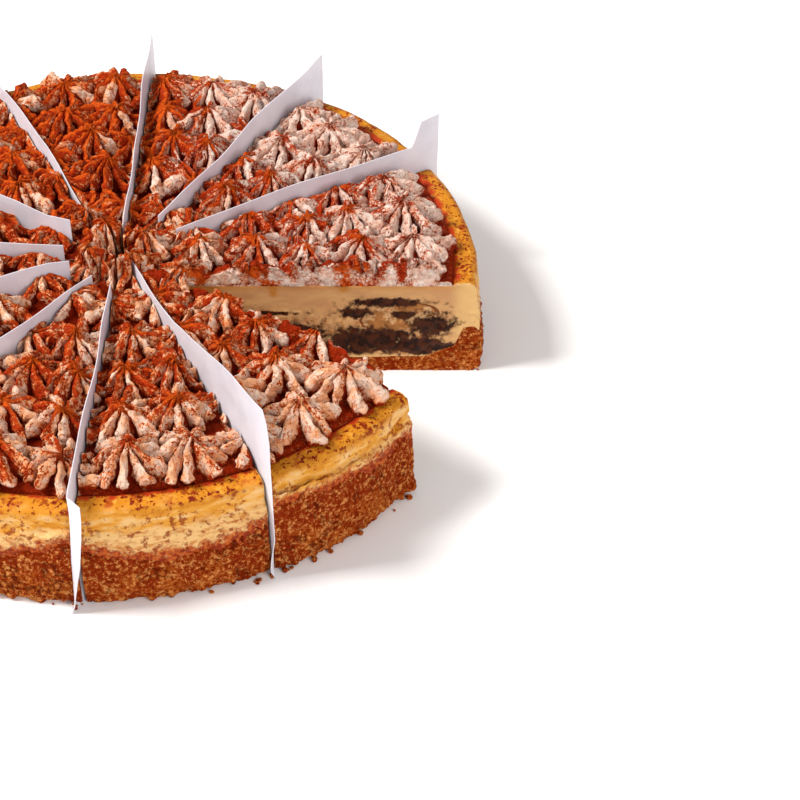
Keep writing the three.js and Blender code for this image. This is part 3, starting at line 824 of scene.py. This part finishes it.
def coffee_in(places, slice_name):
    """How much coffee soaked in at a point of a gap face, 0 to 1: bands and patches, each a
    soft bell in length and in height."""
    origin, direction, _ = gap_face(slice_name)
    along = (places[:, :2] - origin) @ direction / MM
    height = places[:, 2] / MM
    soak = np.zeros(len(places))
    for middle, level, half_long, half_high in COFFEE.get(slice_name, []):
        far = ((along - middle) / half_long) ** 2 + ((height - level) / half_high) ** 2
        soak = np.maximum(soak, np.exp(-far * 0.8))
    return soak


def filling_marks(places, facing, slice_):
    """What the filling's colours follow, by name: whether a point is on a cut face, its coffee,
    the golden bells near the middle, under the cream and in drips, the pale line over the base
    and behind the wall, the open layers at half height, and the height above the crust."""
    cut, _ = beside_cuts(places, facing, slice_)
    radius, azimuth = from_middle(places)
    out, height = radius / MM, places[:, 2] / MM
    at_gap = slice_["name"] in COFFEE
    golden = 0.9 * np.exp(-((out - 22) / 15) ** 2) + 0.5 * np.exp(-((height - 38.5) / 1.2) ** 2)
    for beside, down in GOLDEN_DRIPS if at_gap else []:
        golden += 1.2 * np.exp(-((out - beside) / 1.3) ** 2) * smoothstep(height, down - 1, down + 1)
    thin_line = smoothstep(out, 60, 80) * np.exp(-((height - 7) / 0.8) ** 2)
    layered = smoothstep(height, 28, 23) * smoothstep(height, 7, 9) * smoothstep(out, 116, 108)
    above = places[:, 2] - CRUST_WALL_TOP - wall_rise(np.degrees(azimuth))
    return {
        "cut": cut,
        "soak": coffee_in(places, slice_["name"]) * cut,
        "golden": np.clip(golden, 0, 1),
        "pale": np.clip(thin_line + smoothstep(out, 116, 123), 0, 1),
        "layered": layered if at_gap else 0.4 * layered,
        "above_crust": np.clip(above / (4 * MM), -1, 3)}


for slice_ in SLICES:
    name = slice_["name"]
    first, last = slice_["from"], slice_["to"]
    piece = turned_part(f"{name}_baked_filling", FILLING_OUTLINE, first, last, filling_relief)
    fingers = {key: row for key, row in LADYFINGERS.items() if row[0] == name}
    shapes = {key: ladyfinger(f"{key}_sponge", *row) for key, row in fingers.items()}
    hollows = [("DIFFERENCE", shape) for shape in shapes.values()]
    joined(piece, ("DIFFERENCE", crusts[name]), ("INTERSECT", rooms[name]), *hollows)
    for mark, values in filling_marks(*places_of(piece), slice_).items():
        keep_value(piece, mark, values)
    dressed(piece, filling_finish)
    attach(piece, "root")
    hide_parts(f"{name}_filling")
    for key, shape in shapes.items():
        joined(shape, ("INTERSECT", rooms[name]))
        places, _ = places_of(shape)
        keep_value(shape, "skin", smoothstep(on_finger(places, *fingers[key]), 0.8, 0.97))
        keep_value(shape, "soak", 0.9 * coffee_in(places, name))
        dressed(shape, sponge_finish)
        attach(shape, "root")
        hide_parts(key)

for whole in crusts.values():
    bpy.data.objects.remove(whole)

# ---- The piped cream ----
# Whipped cream spread thinly, then piped over it in rosettes from a nine-toothed tip, in
# rings from the rim to the middle. Cocoa was sieved over it all before it was cut.

CREAM_FLOOR = 39.1 * MM
LAYER = 1.8 * MM
LAYER_TOP = CREAM_FLOOR + LAYER
ROSETTE_HEIGHT = 12.2
ARMS = 9
RINGS = [  # radius in millimetres, how many, the first one's azimuth and their own radius
    (108.5, 34, -83, 13.2), (88.5, 30, -83.5, 13), (69.5, 27, -82, 12.4),
    (51, 18, -79.3, 12.4), (29, 12, -89.7, 11.4), (11, 4, -60, 10.4)]
ARM_SWING = 0.6 * np.pi
FOOT_ANGLE = -0.62
ARM_STEPS = 13 if FINE == 1 else 7
RISE_STEPS = 38 // FINE
PRESSED = 0.5  # the height that is left of the cream right beside a paper
PAPERS_FROM = 14 * MM
DRAWN_MIDDLE = 40
DRAWN_REACH = 110
DRAWN_SHARE = 0.065
DRAWN_GROWTH = 0.12
LAYER_OUTLINE = [  # radius, height and the pitch to the next point, all in millimetres
    (1, 39.1, 30), (110, 39.1, 2), (117.4, 39.1, 0.6), (117.2, 40.2, 0.6), (116, 40.9, 0.9),
    (100, 40.9, 15), (1, 40.9, 2)]


def drawn_bell(azimuth):
    """The rings were piped further in at the back right, and larger in the outermost: a
    cosine's bell about one azimuth, from 0 to 1."""
    away = (azimuth - DRAWN_MIDDLE + 180) % 360 - 180
    return 0.5 + 0.5 * math.cos(math.pi * away / DRAWN_REACH) if abs(away) < DRAWN_REACH else 0


def pressed_down(x, y):
    """The papers press the cream down beside them: its height as a share of its own, from
    the distance to the nearest cut with a paper, as far in as the papers reach."""
    turns = np.radians(CUTS[:-1])
    x, y = np.asarray(x)[..., None], np.asarray(y)[..., None]
    along = x * np.cos(turns) + y * np.sin(turns)
    across = np.abs(y * np.cos(turns) - x * np.sin(turns))
    nearest = np.where(along > PAPERS_FROM, across, 1.0).min(axis=-1)
    return PRESSED + (1 - PRESSED) * smoothstep(nearest, 2 * MM, 9 * MM)


def rosette_at(ring, place):
    """Where one rosette was piped and how large, with the small differences of hand work."""
    radius, count, phase, own_radius = RINGS[ring]
    seed = 100 * ring + place
    azimuth = phase + 360 * place / count
    bell = drawn_bell(azimuth)
    own_radius *= 1 + (DRAWN_GROWTH * bell if ring == 0 else 0)
    distance = (radius * (1 - DRAWN_SHARE * bell) + 1.6 * (chance(seed + 0.2) - 0.5)) * MM
    azimuth = math.radians(azimuth + 1.2 * (chance(seed + 0.1) - 0.5))
    size = own_radius * MM * (1 + 0.1 * (chance(seed + 0.3) - 0.5))
    rise = (ROSETTE_HEIGHT * (1 + 0.16 * (chance(seed + 0.4) - 0.5)) - 1.5) * MM
    turn = chance(seed + 0.5) * 2 * math.pi / ARMS
    middle = np.array([distance * math.cos(azimuth), distance * math.sin(azimuth)])
    return {"seed": seed, "middle": middle, "radius": size, "height": rise, "turn": turn}


def carry(piece, name, values):
    """Stores a number for each point, raised by one: a join gives its new points a plain 0."""
    keep_value(piece, name, np.asarray(values) + 1)


def carry_plain(piece, **values):
    """Carries one number for all the points of a piece, for each name."""
    for name, value in values.items():
        carry(piece, name, np.full(len(piece.data.vertices), float(value)))


def from_neighbours(first, second, values):
    """For each point, the sum of the values of the points that its edges lead to."""
    count = len(values)
    return np.bincount(first, values[second], count) + np.bincount(second, values[first], count)


def carried(piece, name):
    """The carried numbers after a join: a new point takes the mean of its neighbours'."""
    values = np.empty(len(piece.data.vertices), np.float32)
    piece.data.attributes[name].data.foreach_get("value", values)
    ends = np.empty(2 * len(piece.data.edges), np.int32)
    piece.data.edges.foreach_get("vertices", ends)
    first, second = ends.reshape(-1, 2).T
    for _ in range(3):
        known = (values > 0.5).astype(float)
        count = from_neighbours(first, second, known)
        total = from_neighbours(first, second, values * known)
        values = np.where((known == 0) & (count > 0), total / np.maximum(count, 1), values)
    return np.maximum(values - 1, 0)


def rosette(drop):
    """One drop of cream from a star tip, with arms round a peak. Along an arm an angle rises
    from under its end to the peak: the crest reaches out by its cosine, and climbs by its sine
    and by a cone. Across an arm another angle swings over a bit more than half a circle, so
    that the arm is round and undercut, and between the arms lies a groove that gets shallow
    towards the peak. Each arm has its own length, height and bend."""
    seed = drop["seed"]
    number = np.arange(ARMS)
    centre = drop["turn"] + 2 * np.pi * number / ARMS + 0.2 * (chance(seed + 0.61 + 0.013 * number) - 0.5)
    after = np.roll(centre, -1) - centre
    after[-1] += 2 * np.pi
    before = np.roll(after, 1)
    length = 1 + 0.3 * (chance(seed + 0.71 + 0.017 * number) - 0.5)
    lift = 1 + 0.3 * (chance(seed + 0.81 + 0.019 * number) - 0.5)
    bend = 0.35 * (chance(seed + 0.41 + 0.023 * number) - 0.5) + 0.5 * (chance(seed + 0.91) - 0.4)
    swing = np.linspace(-1, 1, ARM_STEPS)
    lateral = np.append(np.sin(ARM_SWING * swing), 1.0)
    over = np.append(np.clip((np.cos(ARM_SWING * swing) + 0.309) / 1.309, 0, 1), 0)
    groove = np.append(np.zeros(ARM_STEPS), 1.0)
    arm = np.repeat(number, ARM_STEPS + 1)
    lateral, over, groove = (np.tile(row, ARMS) for row in (lateral, over, groove))
    rise = np.linspace(FOOT_ANGLE, np.pi / 2, RISE_STEPS + 1)[:-1][:, None]
    out = np.cos(rise)
    up = 0.76 * (np.sin(rise) + 0.45) / 1.45 + 0.24 * (1 - out) * (rise > 0)
    up = up * (1 + (lift[arm] - 1) * out)
    depth = (up + 0.08) * np.minimum(0.1 + 0.9 * (out / 0.64) ** 1.6, 1)
    depth = np.where(rise < 0, up + 0.08, depth)
    share_up = up - depth * (1 - over ** 1.15)
    share_out = out * (1 + (length[arm] - 1) * out) * (1 - 0.17 * lateral ** 2 * out ** 2)
    gap = np.where(lateral < 0, before[arm], after[arm]) / 2
    filled = 0.80 - 0.24 * smoothstep(out, 0.25, 0.8)
    angle = centre[arm] + gap * lateral * np.where(groove > 0, 1, filled) + bend[arm] * share_out ** 2
    radius, height = drop["radius"], drop["height"]
    tip = np.exp(-(share_out / 0.09) ** 2)
    across = radius * np.maximum(share_out, 0.01)
    x = drop["middle"][0] + across * np.cos(angle) + 1.2 * MM * tip * (chance(seed + 0.95) - 0.5)
    y = drop["middle"][1] + across * np.sin(angle) + 1.2 * MM * tip * (chance(seed + 0.97) - 0.5)
    z = LAYER_TOP + (height * share_up + 0.5 * MM * tip) * pressed_down(x, y)
    z = np.maximum(z, LAYER_TOP - 0.8 * MM)
    points = np.stack([x, y, z], axis=-1).reshape(-1, 3)
    columns = len(arm)
    shown = np.repeat(smoothstep(np.arange(RISE_STEPS), 0, 3), columns)
    bends = 0.95 * lumps(points, 4.2 * MM, 66) + 0.5 * lumps(points, 2.0 * MM, 76)
    points += (MM * shown)[:, None] * bends
    peak = points[-columns:].mean(axis=0) + [0, 0, 0.12 * MM]
    foot = [*drop["middle"], points[:columns, 2].min()]
    points = np.vstack([points, peak, foot])
    faces = tube_faces(columns, RISE_STEPS, True)
    last = (RISE_STEPS - 1) * columns
    faces += [[last + i, last + (i + 1) % columns, last + columns] for i in range(columns)]
    faces += [[(i + 1) % columns, i, last + columns + 1] for i in range(columns)]
    made = closed_mesh(f"drop_{seed:03d}", points, faces)
    lower_right = 0.5 + 0.5 * np.cos(centre[arm] + math.radians(55))
    own = 0.72 * chance(seed + 0.37 + 0.029 * arm) + 0.28 * lower_right
    stripe = 2 * (lateral + 1) + 7.3 * arm + 3.1 * (seed % 11)
    carry(made, "crest", np.append(np.tile(over, RISE_STEPS), [1, 0]))
    carry(made, "arm_draw", np.append(np.tile(own, RISE_STEPS), [0, 0]))
    carry(made, "reach", np.append(np.minimum(share_out, 1.5).ravel(), [0, 0]))
    carry(made, "stripe", np.append(np.tile(stripe, RISE_STEPS), [0, 0]))
    return made


def cream_relief(places, reach, stripe):
    """How far the cream's skin stands out, in metres: soft noise of two sizes, torn crumbs in
    places, and wrinkles across the arms, as a sine of the distance from the peak."""
    rough = 0.2 * soft_noise(places, 2.6 * MM, 61) + 0.28 * soft_noise(places, 1.1 * MM, 62)
    torn = smoothstep(soft_noise(places, 7 * MM, 63), -0.35, 0.15)
    rough += 0.75 * torn * soft_noise(places, 1.3 * MM, 64)
    wrinkle = np.sin(45 * reach + 2.5 * np.sin(1.7 * stripe))
    rough += 0.24 * wrinkle * smoothstep(soft_noise(places, 6 * MM, 65), -0.1, 0.4)
    return MM * rough * smoothstep(places[:, 2], LAYER_TOP, LAYER_TOP + 1.2 * MM)


def cocoa_density(azimuth, radius):
    """How thickly cocoa lies, 0 to 1: heaviest at the back left, thinner on the outer
    rosettes, most of all at the right and in one slice at the back."""
    turn = (azimuth + 180) % 360 - 180
    right = smoothstep(np.abs(turn - 3), 100, 48)
    heavy = 0.70 + 0.30 * smoothstep(np.abs(turn - 118), 52, 28)
    outer = 0.42 * right * smoothstep(radius, 82 * MM, 101 * MM)
    left = smoothstep(turn, -90, -102)
    outer += (0.27 - 0.15 * left) * (1 - right) * smoothstep(radius, 90 * MM, 108 * MM)
    back = 0.3 * smoothstep(np.abs(turn - 43), 17, 12) * smoothstep(radius, 62 * MM, 82 * MM)
    return np.clip(heavy - outer - back, 0.2, 1)


def level(points, normals):
    """No relief: 0 at every point, for the smooth layer under the rosettes."""
    return np.zeros(len(points))


RIDGE_SIDES = 20
RIDGE_FROM = 15
RIDGE_TO = 112


def torn_ridge(name, slice_name):
    """The cream's edge at the gap, where the slice beside it pulled away: a low wall along the
    cut, an upright half ellipse across, with an uneven top and lumps by soft noise."""
    origin, direction, inward = gap_face(slice_name)
    steps = np.arange(RIDGE_FROM, RIDGE_TO, 0.7 * FINE) * MM
    along = np.repeat(steps, RIDGE_SIDES)
    turn = np.tile(np.linspace(0, 2 * np.pi, RIDGE_SIDES, endpoint=False), len(steps))
    line = np.column_stack([along, 0 * along, 0 * along])
    top = (6.2 + 2.6 * soft_noise(line, 8 * MM, 71) + 1.8 * soft_noise(line, 3 * MM, 72)) * MM
    deep = (1.4 + 3.6 * np.cos(turn)) * MM
    flat = origin + along[:, None] * direction + deep[:, None] * inward
    points = np.column_stack([flat, CREAM_FLOOR + 1 * MM + top * np.maximum(np.sin(turn), -0.1)])
    outward = np.column_stack([np.cos(turn)[:, None] * inward, np.sin(turn)])
    points += (0.7 * MM * soft_noise(points, 2.4 * MM, 73))[:, None] * outward
    faces = capped_tube(RIDGE_SIDES, len(steps))
    if slice_name == "slice_02":
        faces = [face[::-1] for face in faces]
    made = closed_mesh(name, points, faces)
    carry_plain(made, crest=0, arm_draw=0.6, reach=0.9, stripe=0)
    return made


# The cream's own colours, each with a painted shaded copy that is laid in random clouds
CREAM_WHITE = (0.83, 0.60, 0.47, 1)
CREAM_SHADE = (0.83, 0.41, 0.22, 1)
CREAM_PALE = (0.86, 0.68, 0.59, 1)
CREAM_PALE_SHADE = (0.79, 0.50, 0.39, 1)
CREAM_STAINED = (0.68, 0.205, 0.062, 1)
PALE_STAINED = (0.60, 0.24, 0.14, 1)

cream_finish, tree, shader, place = finish_on("whipped_cream", roughness=0.75, gloss=0.03)

# How much cocoa a place has: what was stored, more in the creases, and less or more by
# fine and broad spots and by stripes along the arms
fine = speckle(tree, place, 0.9 * MM, 4, 0.7)
broad = speckle(tree, place, 2.8 * MM, 3, 0.55)
across = {"X": kept_value(tree, "stripe"), "Y": times(tree, kept_value(tree, "reach"), 2.4)}
spread = put(tree, "ShaderNodeCombineXYZ", across).outputs[0]
stripes = speckle(tree, spread, 2 / 3, 4, 0.7)
vein = worked(tree, "ABSOLUTE", worked(tree, "SUBTRACT", speckle(tree, place, 1.9 * MM, 2), 0.5))
creased = times(tree, stepped(tree, vein, 0.05, 0.005),
                stepped(tree, speckle(tree, place, 6 * MM, 1), 0.40, 0.56))
amount = plus(tree, kept_value(tree, "dust"), times(tree, creased, 0.30))
amount = worked(tree, "SUBTRACT", amount, 0.06)
for grain, reach in ((fine, 1.5), (broad, 1.1), (stripes, 1.7)):
    amount = plus(tree, amount, swung(tree, grain, reach))

# The cream, in random clouds of its own colour and a painted shaded copy, where cocoa stained
# it, the powder itself from painted shade to painted highlight, and painted shade in the folds
cloudy = stepped(tree, speckle(tree, place, 4 * MM, 3), 0.40, 0.62)
cream = mixed(tree, kept_value(tree, "pale"), mixed(tree, cloudy, CREAM_WHITE, CREAM_SHADE),
              mixed(tree, cloudy, CREAM_PALE, CREAM_PALE_SHADE))
# The powder's painted highlight and painted shade: lighter orange where the stored crest value is high, dark
# where it is low, with random tone
ruddy = swung(tree, speckle(tree, place, 1.6 * MM, 4, 0.7), 2.2)
painted_light_tone = plus(tree, kept_value(tree, "crest"), ruddy)
powder = mixed(tree, stepped(tree, painted_light_tone, 0.25, 0.8), COCOA_RED, COCOA_HIGHLIGHT)
powder = mixed(tree, times(tree, stepped(tree, painted_light_tone, -0.02, -0.3), 0.8), powder, COCOA_SHADE_AND_DARK_GRAIN)
stained = mixed(tree, kept_value(tree, "pale"), CREAM_STAINED, PALE_STAINED)
colour = mixed(tree, stepped(tree, amount, 0.10, 0.32), cream, stained)
colour = mixed(tree, stepped(tree, amount, 0.36, 0.50), colour, powder)
# Painted shade in the creases, where the bump is lowered
painted_crease_shade = times(tree, creased, stepped(tree, amount, 0.2, 0.6))
colour = mixed(tree, times(tree, painted_crease_shade, 0.7), colour, COCOA_SHADE_AND_DARK_GRAIN)
# Painted shade of the cocoa in the grooves between the rosettes and between the arms
colour = mixed(tree, kept_value(tree, "deep"), colour, COCOA_SHADE_AND_DARK_GRAIN)
tree.links.new(colour, shader.inputs["Base Color"])
relief = plus(tree, times(tree, stripes, 1.6), speckle(tree, place, 0.6 * MM, 4, 0.65))
relief = worked(tree, "SUBTRACT", relief, times(tree, stepped(tree, vein, 0.06, 0.0), 0.5))
bumped(tree, shader, relief, 1.0, 0.5 * MM)

drops = [rosette_at(ring, place) for ring in range(len(RINGS)) for place in range(RINGS[ring][1])]


def reaches(drop, slice_):
    """Whether a rosette comes into a slice: how far its middle lies outside both cuts."""
    start = cut_line(slice_["from"], 0)
    end = cut_line(slice_["to"], 0)
    outside = max(-(drop["middle"] @ start["normal"]), drop["middle"] @ end["normal"])
    return outside < 1.25 * drop["radius"]


# It is also the side that the painted highlight on the cocoa faces.
SIEVE_AND_LIGHT_FROM = np.array([-0.40, 0.28, 0.87])  # the direction that the sieved cocoa came from


def cream_marks(places, facing, cut, crest, arm_draw, reach):
    """What the cream's colours follow, by name. Dust is the cocoa's density, more where a place
    faces the sieve, less on the arms that stayed clean and on their crests, and more at the
    peaks and in the hollows. Crest is the painted highlight on the cocoa, on the side towards
    the sieve and the light, the crests and the peaks. Deep is painted shade where the cocoa
    lies in the grooves between the rosettes and the arms, and pale is where the cream is
    whiter, at the right and the back."""
    height = places[:, 2]
    radius, azimuth = from_middle(places)
    azimuth = np.degrees(azimuth)
    density = cocoa_density(azimuth, radius)
    clean = smoothstep(arm_draw, 0.34 + 0.46 * density, 0.38 + 0.46 * density)
    lit = facing @ SIEVE_AND_LIGHT_FROM
    line = smoothstep(crest, 0.86, 1) * smoothstep(reach, 1, 0.7)
    dust = density * (0.42 + 0.55 * smoothstep(lit, -0.4, 0.5))
    dust = dust * (1 - clean) + (0.02 + 0.16 * density) * clean
    dust -= 0.3 * line * smoothstep(soft_noise(places, 5 * MM, 81), 0, 0.4)
    dust += smoothstep(reach, 0.36, 0.1) * (0.2 + 0.4 * density)
    # Low places and the hollows between the arms: more cocoa there, and painted shade in the grooves
    deep = smoothstep((height - LAYER_TOP) / (ROSETTE_HEIGHT * MM), 0.22, 0.05)
    hollow = smoothstep(crest, 0.5, 0.1) * smoothstep(reach, 0.15, 0.35)
    dust = np.maximum(dust, np.maximum(deep, hollow) * (0.6 + 0.3 * density))
    smeared = 0.22 + 0.3 * smoothstep(height, 42 * MM, 49 * MM)
    smeared += 0.55 * soft_noise(places * (1, 1, 0.5), 3.2 * MM, 82)
    # The painted highlight on the cocoa: on the side facing the light, on the crest lines and at the peaks
    painted_highlight = 0.65 * smoothstep(lit, 0.1, 0.9) * smoothstep(density, 0.7, 1)
    painted_highlight += (0.5 * line + 0.7 * smoothstep(reach, 0.34, 0.12)) * smoothstep(density, 0.3, 0.7)
    return {
        "dust": np.clip(dust, 0, 1.3) * (1 - cut) + smeared * cut,
        "crest": np.clip(painted_highlight, 0, 1),
        "deep": np.maximum(deep, 0.7 * hollow) * (0.4 + 0.6 * density) * (1 - cut),
        "pale": smoothstep(np.abs(azimuth - 25), 70, 44) * smoothstep(radius, 20 * MM, 60 * MM)}


for slice_ in SLICES:
    name = slice_["name"]
    piece = turned_part(f"{name}_piped_cream", LAYER_OUTLINE, slice_["from"] - 1, slice_["to"] + 1, level)
    carry_plain(piece, crest=0, arm_draw=0, reach=1.2, stripe=0)
    pile = bpy.data.collections.new(f"{name}_drops")
    for drop in drops:
        if reaches(drop, slice_):
            pile.objects.link(rosette(drop))
    if name in COFFEE:
        pile.objects.link(torn_ridge(f"{name}_torn_ridge", name))
    bpy.context.scene.collection.children.link(pile)
    joined(piece, ("UNION", pile), ("INTERSECT", rooms[name]))
    for made in list(pile.objects):
        bpy.data.objects.remove(made)
    bpy.data.collections.remove(pile)
    places, facing = places_of(piece)
    cut, nearest = beside_cuts(places, facing, slice_)
    crest, arm_draw, reach, stripe = (
        carried(piece, mark) for mark in ("crest", "arm_draw", "reach", "stripe"))
    free = (1 - cut) * smoothstep(nearest, 0.3 * MM, 1.8 * MM)
    if name in COFFEE:
        origin, direction, inward = gap_face(name)
        behind = np.abs((places[:, :2] - origin) @ inward)
        free = np.maximum(free, 0.8 * smoothstep(behind, 2 * MM, 0.9 * MM))
    places += (free * cream_relief(places, reach, stripe))[:, None] * facing
    piece.data.vertices.foreach_set("co", places.ravel())
    marks = cream_marks(places, facing, cut, crest, arm_draw, reach)
    for mark, values in {"stripe": stripe, "reach": reach, **marks}.items():
        keep_value(piece, mark, values)
    dressed(piece, cream_finish, crease=60)
    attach(piece, "root")
    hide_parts(f"{name}_cream")

for room in rooms.values():
    bpy.data.objects.remove(room)

# ---- The paper dividers ----
# A sheet of smooth white baking paper is pushed down into each cut, so that the slices
# lift out cleanly. It stands on the base and its top edge waves a little above the cake.

PAPER = 0.25 * MM
PAPERS = [  # azimuth of the cut, and its top edge: distance from the middle, height above the cake
    (-91, [(24, 9), (50, 10.6), (112, 9.8), (129.3, 8.6), (131.4, 7.6)]),
    (-63, [(11, 7.7), (52, 10.7), (75, 17.8), (97, 22.8), (125.5, 29.8), (128.2, 25.8), (130, 17.5)]),
    (28, [(21.6, 7.2), (47, 9), (75, 10.4), (117, 11.6), (120.6, 22), (127.8, 23.5)]),
    (58, [(21.7, 7.1), (36, 8.6), (60, 9.5), (81.5, 13.2), (118, 16), (129, 18)]),
    (90, [(12, 6), (24, 10.5), (57, 12), (116, 14), (129.2, 16.2)]),
    (120, [(32, 2.5), (45, 4.8), (67, 9.8), (112, 12.2), (129, 15)]),
    (151, [(21, 11), (31, 9.8), (44, 12), (104, 12.6), (129.2, 18)]),
    (180, [(20, 7.2), (46, 9), (84, 10.5), (117, 13.4), (129.2, 14.2)]),
    (-149, [(19.5, 8.7), (27, 10.4), (86, 12), (115, 14.4), (129, 20)]),
    (-121, [(16.5, 5.2), (31, 7.6), (82, 13), (112, 16), (129.4, 18.4)])]
BENDS = {  # by azimuth: height, how far the outer strip leans there and how far it is folded aside
    -91: [
        (0, -2.9, -0.8), (3, -2.7, 0.3), (8, -2.5, 1), (15, -2.1, 2), (21, -1.8, 3), (35, -0.6, 3.7),
        (48, 0.2, 4.2)],
    -63: [(0, 0, -0.4), (4, -0.3, -1.9), (9, -0.2, -1.5), (17, 0, 0)]}
BEND_FROM = 125 * MM
BEND_TO = 127.4 * MM
FOLD_FROM = 128.2 * MM
PAPER_ROWS = 48
PAPER_WHITE = (0.71, 0.70, 0.77, 1)
PAPER_SHADE = (0.65, 0.64, 0.715, 1)

paper_finish, tree, shader, place = finish_on("baking_paper", roughness=0.42)
cloud = stepped(tree, speckle(tree, place, 9 * MM, 3), 0.35, 0.7)
tree.links.new(mixed(tree, cloud, PAPER_WHITE, PAPER_SHADE), shader.inputs["Base Color"])
shader.inputs["Subsurface Weight"].default_value = 0.4
shader.inputs["Subsurface Radius"].default_value = (1, 1, 1)
shader.inputs["Subsurface Scale"].default_value = 0.5 * MM
bumped(tree, shader, speckle(tree, place, 1.2 * MM, 4, 0.6), 0.12, 0.2 * MM)


def paper_sheet(name, azimuth, top):
    """A sheet as a grid of distance along the cut and share of its height. It waves sideways
    by a sum of sines, more above the cake than in the cut, and has both its faces. Its
    outer strip may lean over and be folded aside, by amounts that change with the height."""
    distances, above = np.array(top).T * MM
    columns = np.append(np.arange(distances[0], BEND_FROM, 1 * MM),
                        np.arange(BEND_FROM, distances[-1] + 1e-6, 0.4 * MM))
    upper = CAKE_HEIGHT + np.interp(columns, distances, above)
    rows = np.linspace(0, 1, PAPER_ROWS)
    height = np.outer(rows, upper)
    along = np.tile(columns, (len(rows), 1))
    seed = azimuth * 0.37
    free = smoothstep(height, CAKE_HEIGHT, CAKE_HEIGHT + 12 * MM)
    wave = np.sin(along / (17 * MM) + seed) + 0.5 * np.sin(along / (7 * MM) + 2 * seed + height / (20 * MM))
    aside = MM * wave * (0.12 + 0.5 * free)
    if azimuth in BENDS:
        levels, leans, folds = np.array(BENDS[azimuth]).T * MM
        aside += smoothstep(along, BEND_FROM, BEND_TO) * np.interp(height, levels, leans)
        fold = np.clip((along - FOLD_FROM) / (distances[-1] - FOLD_FROM), 0, 1)
        aside += fold * np.interp(height, levels, folds)
    turn = math.radians(azimuth)
    flat = np.array([math.cos(turn), math.sin(turn)])
    normal = np.array([-flat[1], flat[0]])
    sheets = []
    for side in (0.5, -0.5):
        offset = aside + side * PAPER
        x, y = (along * flat[axis] + offset * normal[axis] for axis in (0, 1))
        sheets.append(np.stack([x, y, height], axis=-1).reshape(-1, 3))
    points = np.concatenate(sheets)
    count = len(columns)
    front = tube_faces(count, len(rows), False)
    size = count * len(rows)
    faces = [face[::-1] for face in front] + [[size + i for i in face] for face in front]
    border = list(range(count))
    border += [row * count + count - 1 for row in range(1, len(rows))]
    border += [(len(rows) - 1) * count + i for i in range(count - 2, -1, -1)]
    border += [row * count for row in range(len(rows) - 2, 0, -1)]
    faces += [[a, b, size + b, size + a] for a, b in zip(border, border[1:] + border[:1])]
    return closed_mesh(name, points, faces)


for number, (azimuth, top) in enumerate(PAPERS, 1):
    sheet = paper_sheet(f"divider_{number:02d}", azimuth, top)
    sheet.data.shade_smooth()
    dressed(sheet, paper_finish)
    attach(sheet, "root")
    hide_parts(f"paper_{number:02d}")
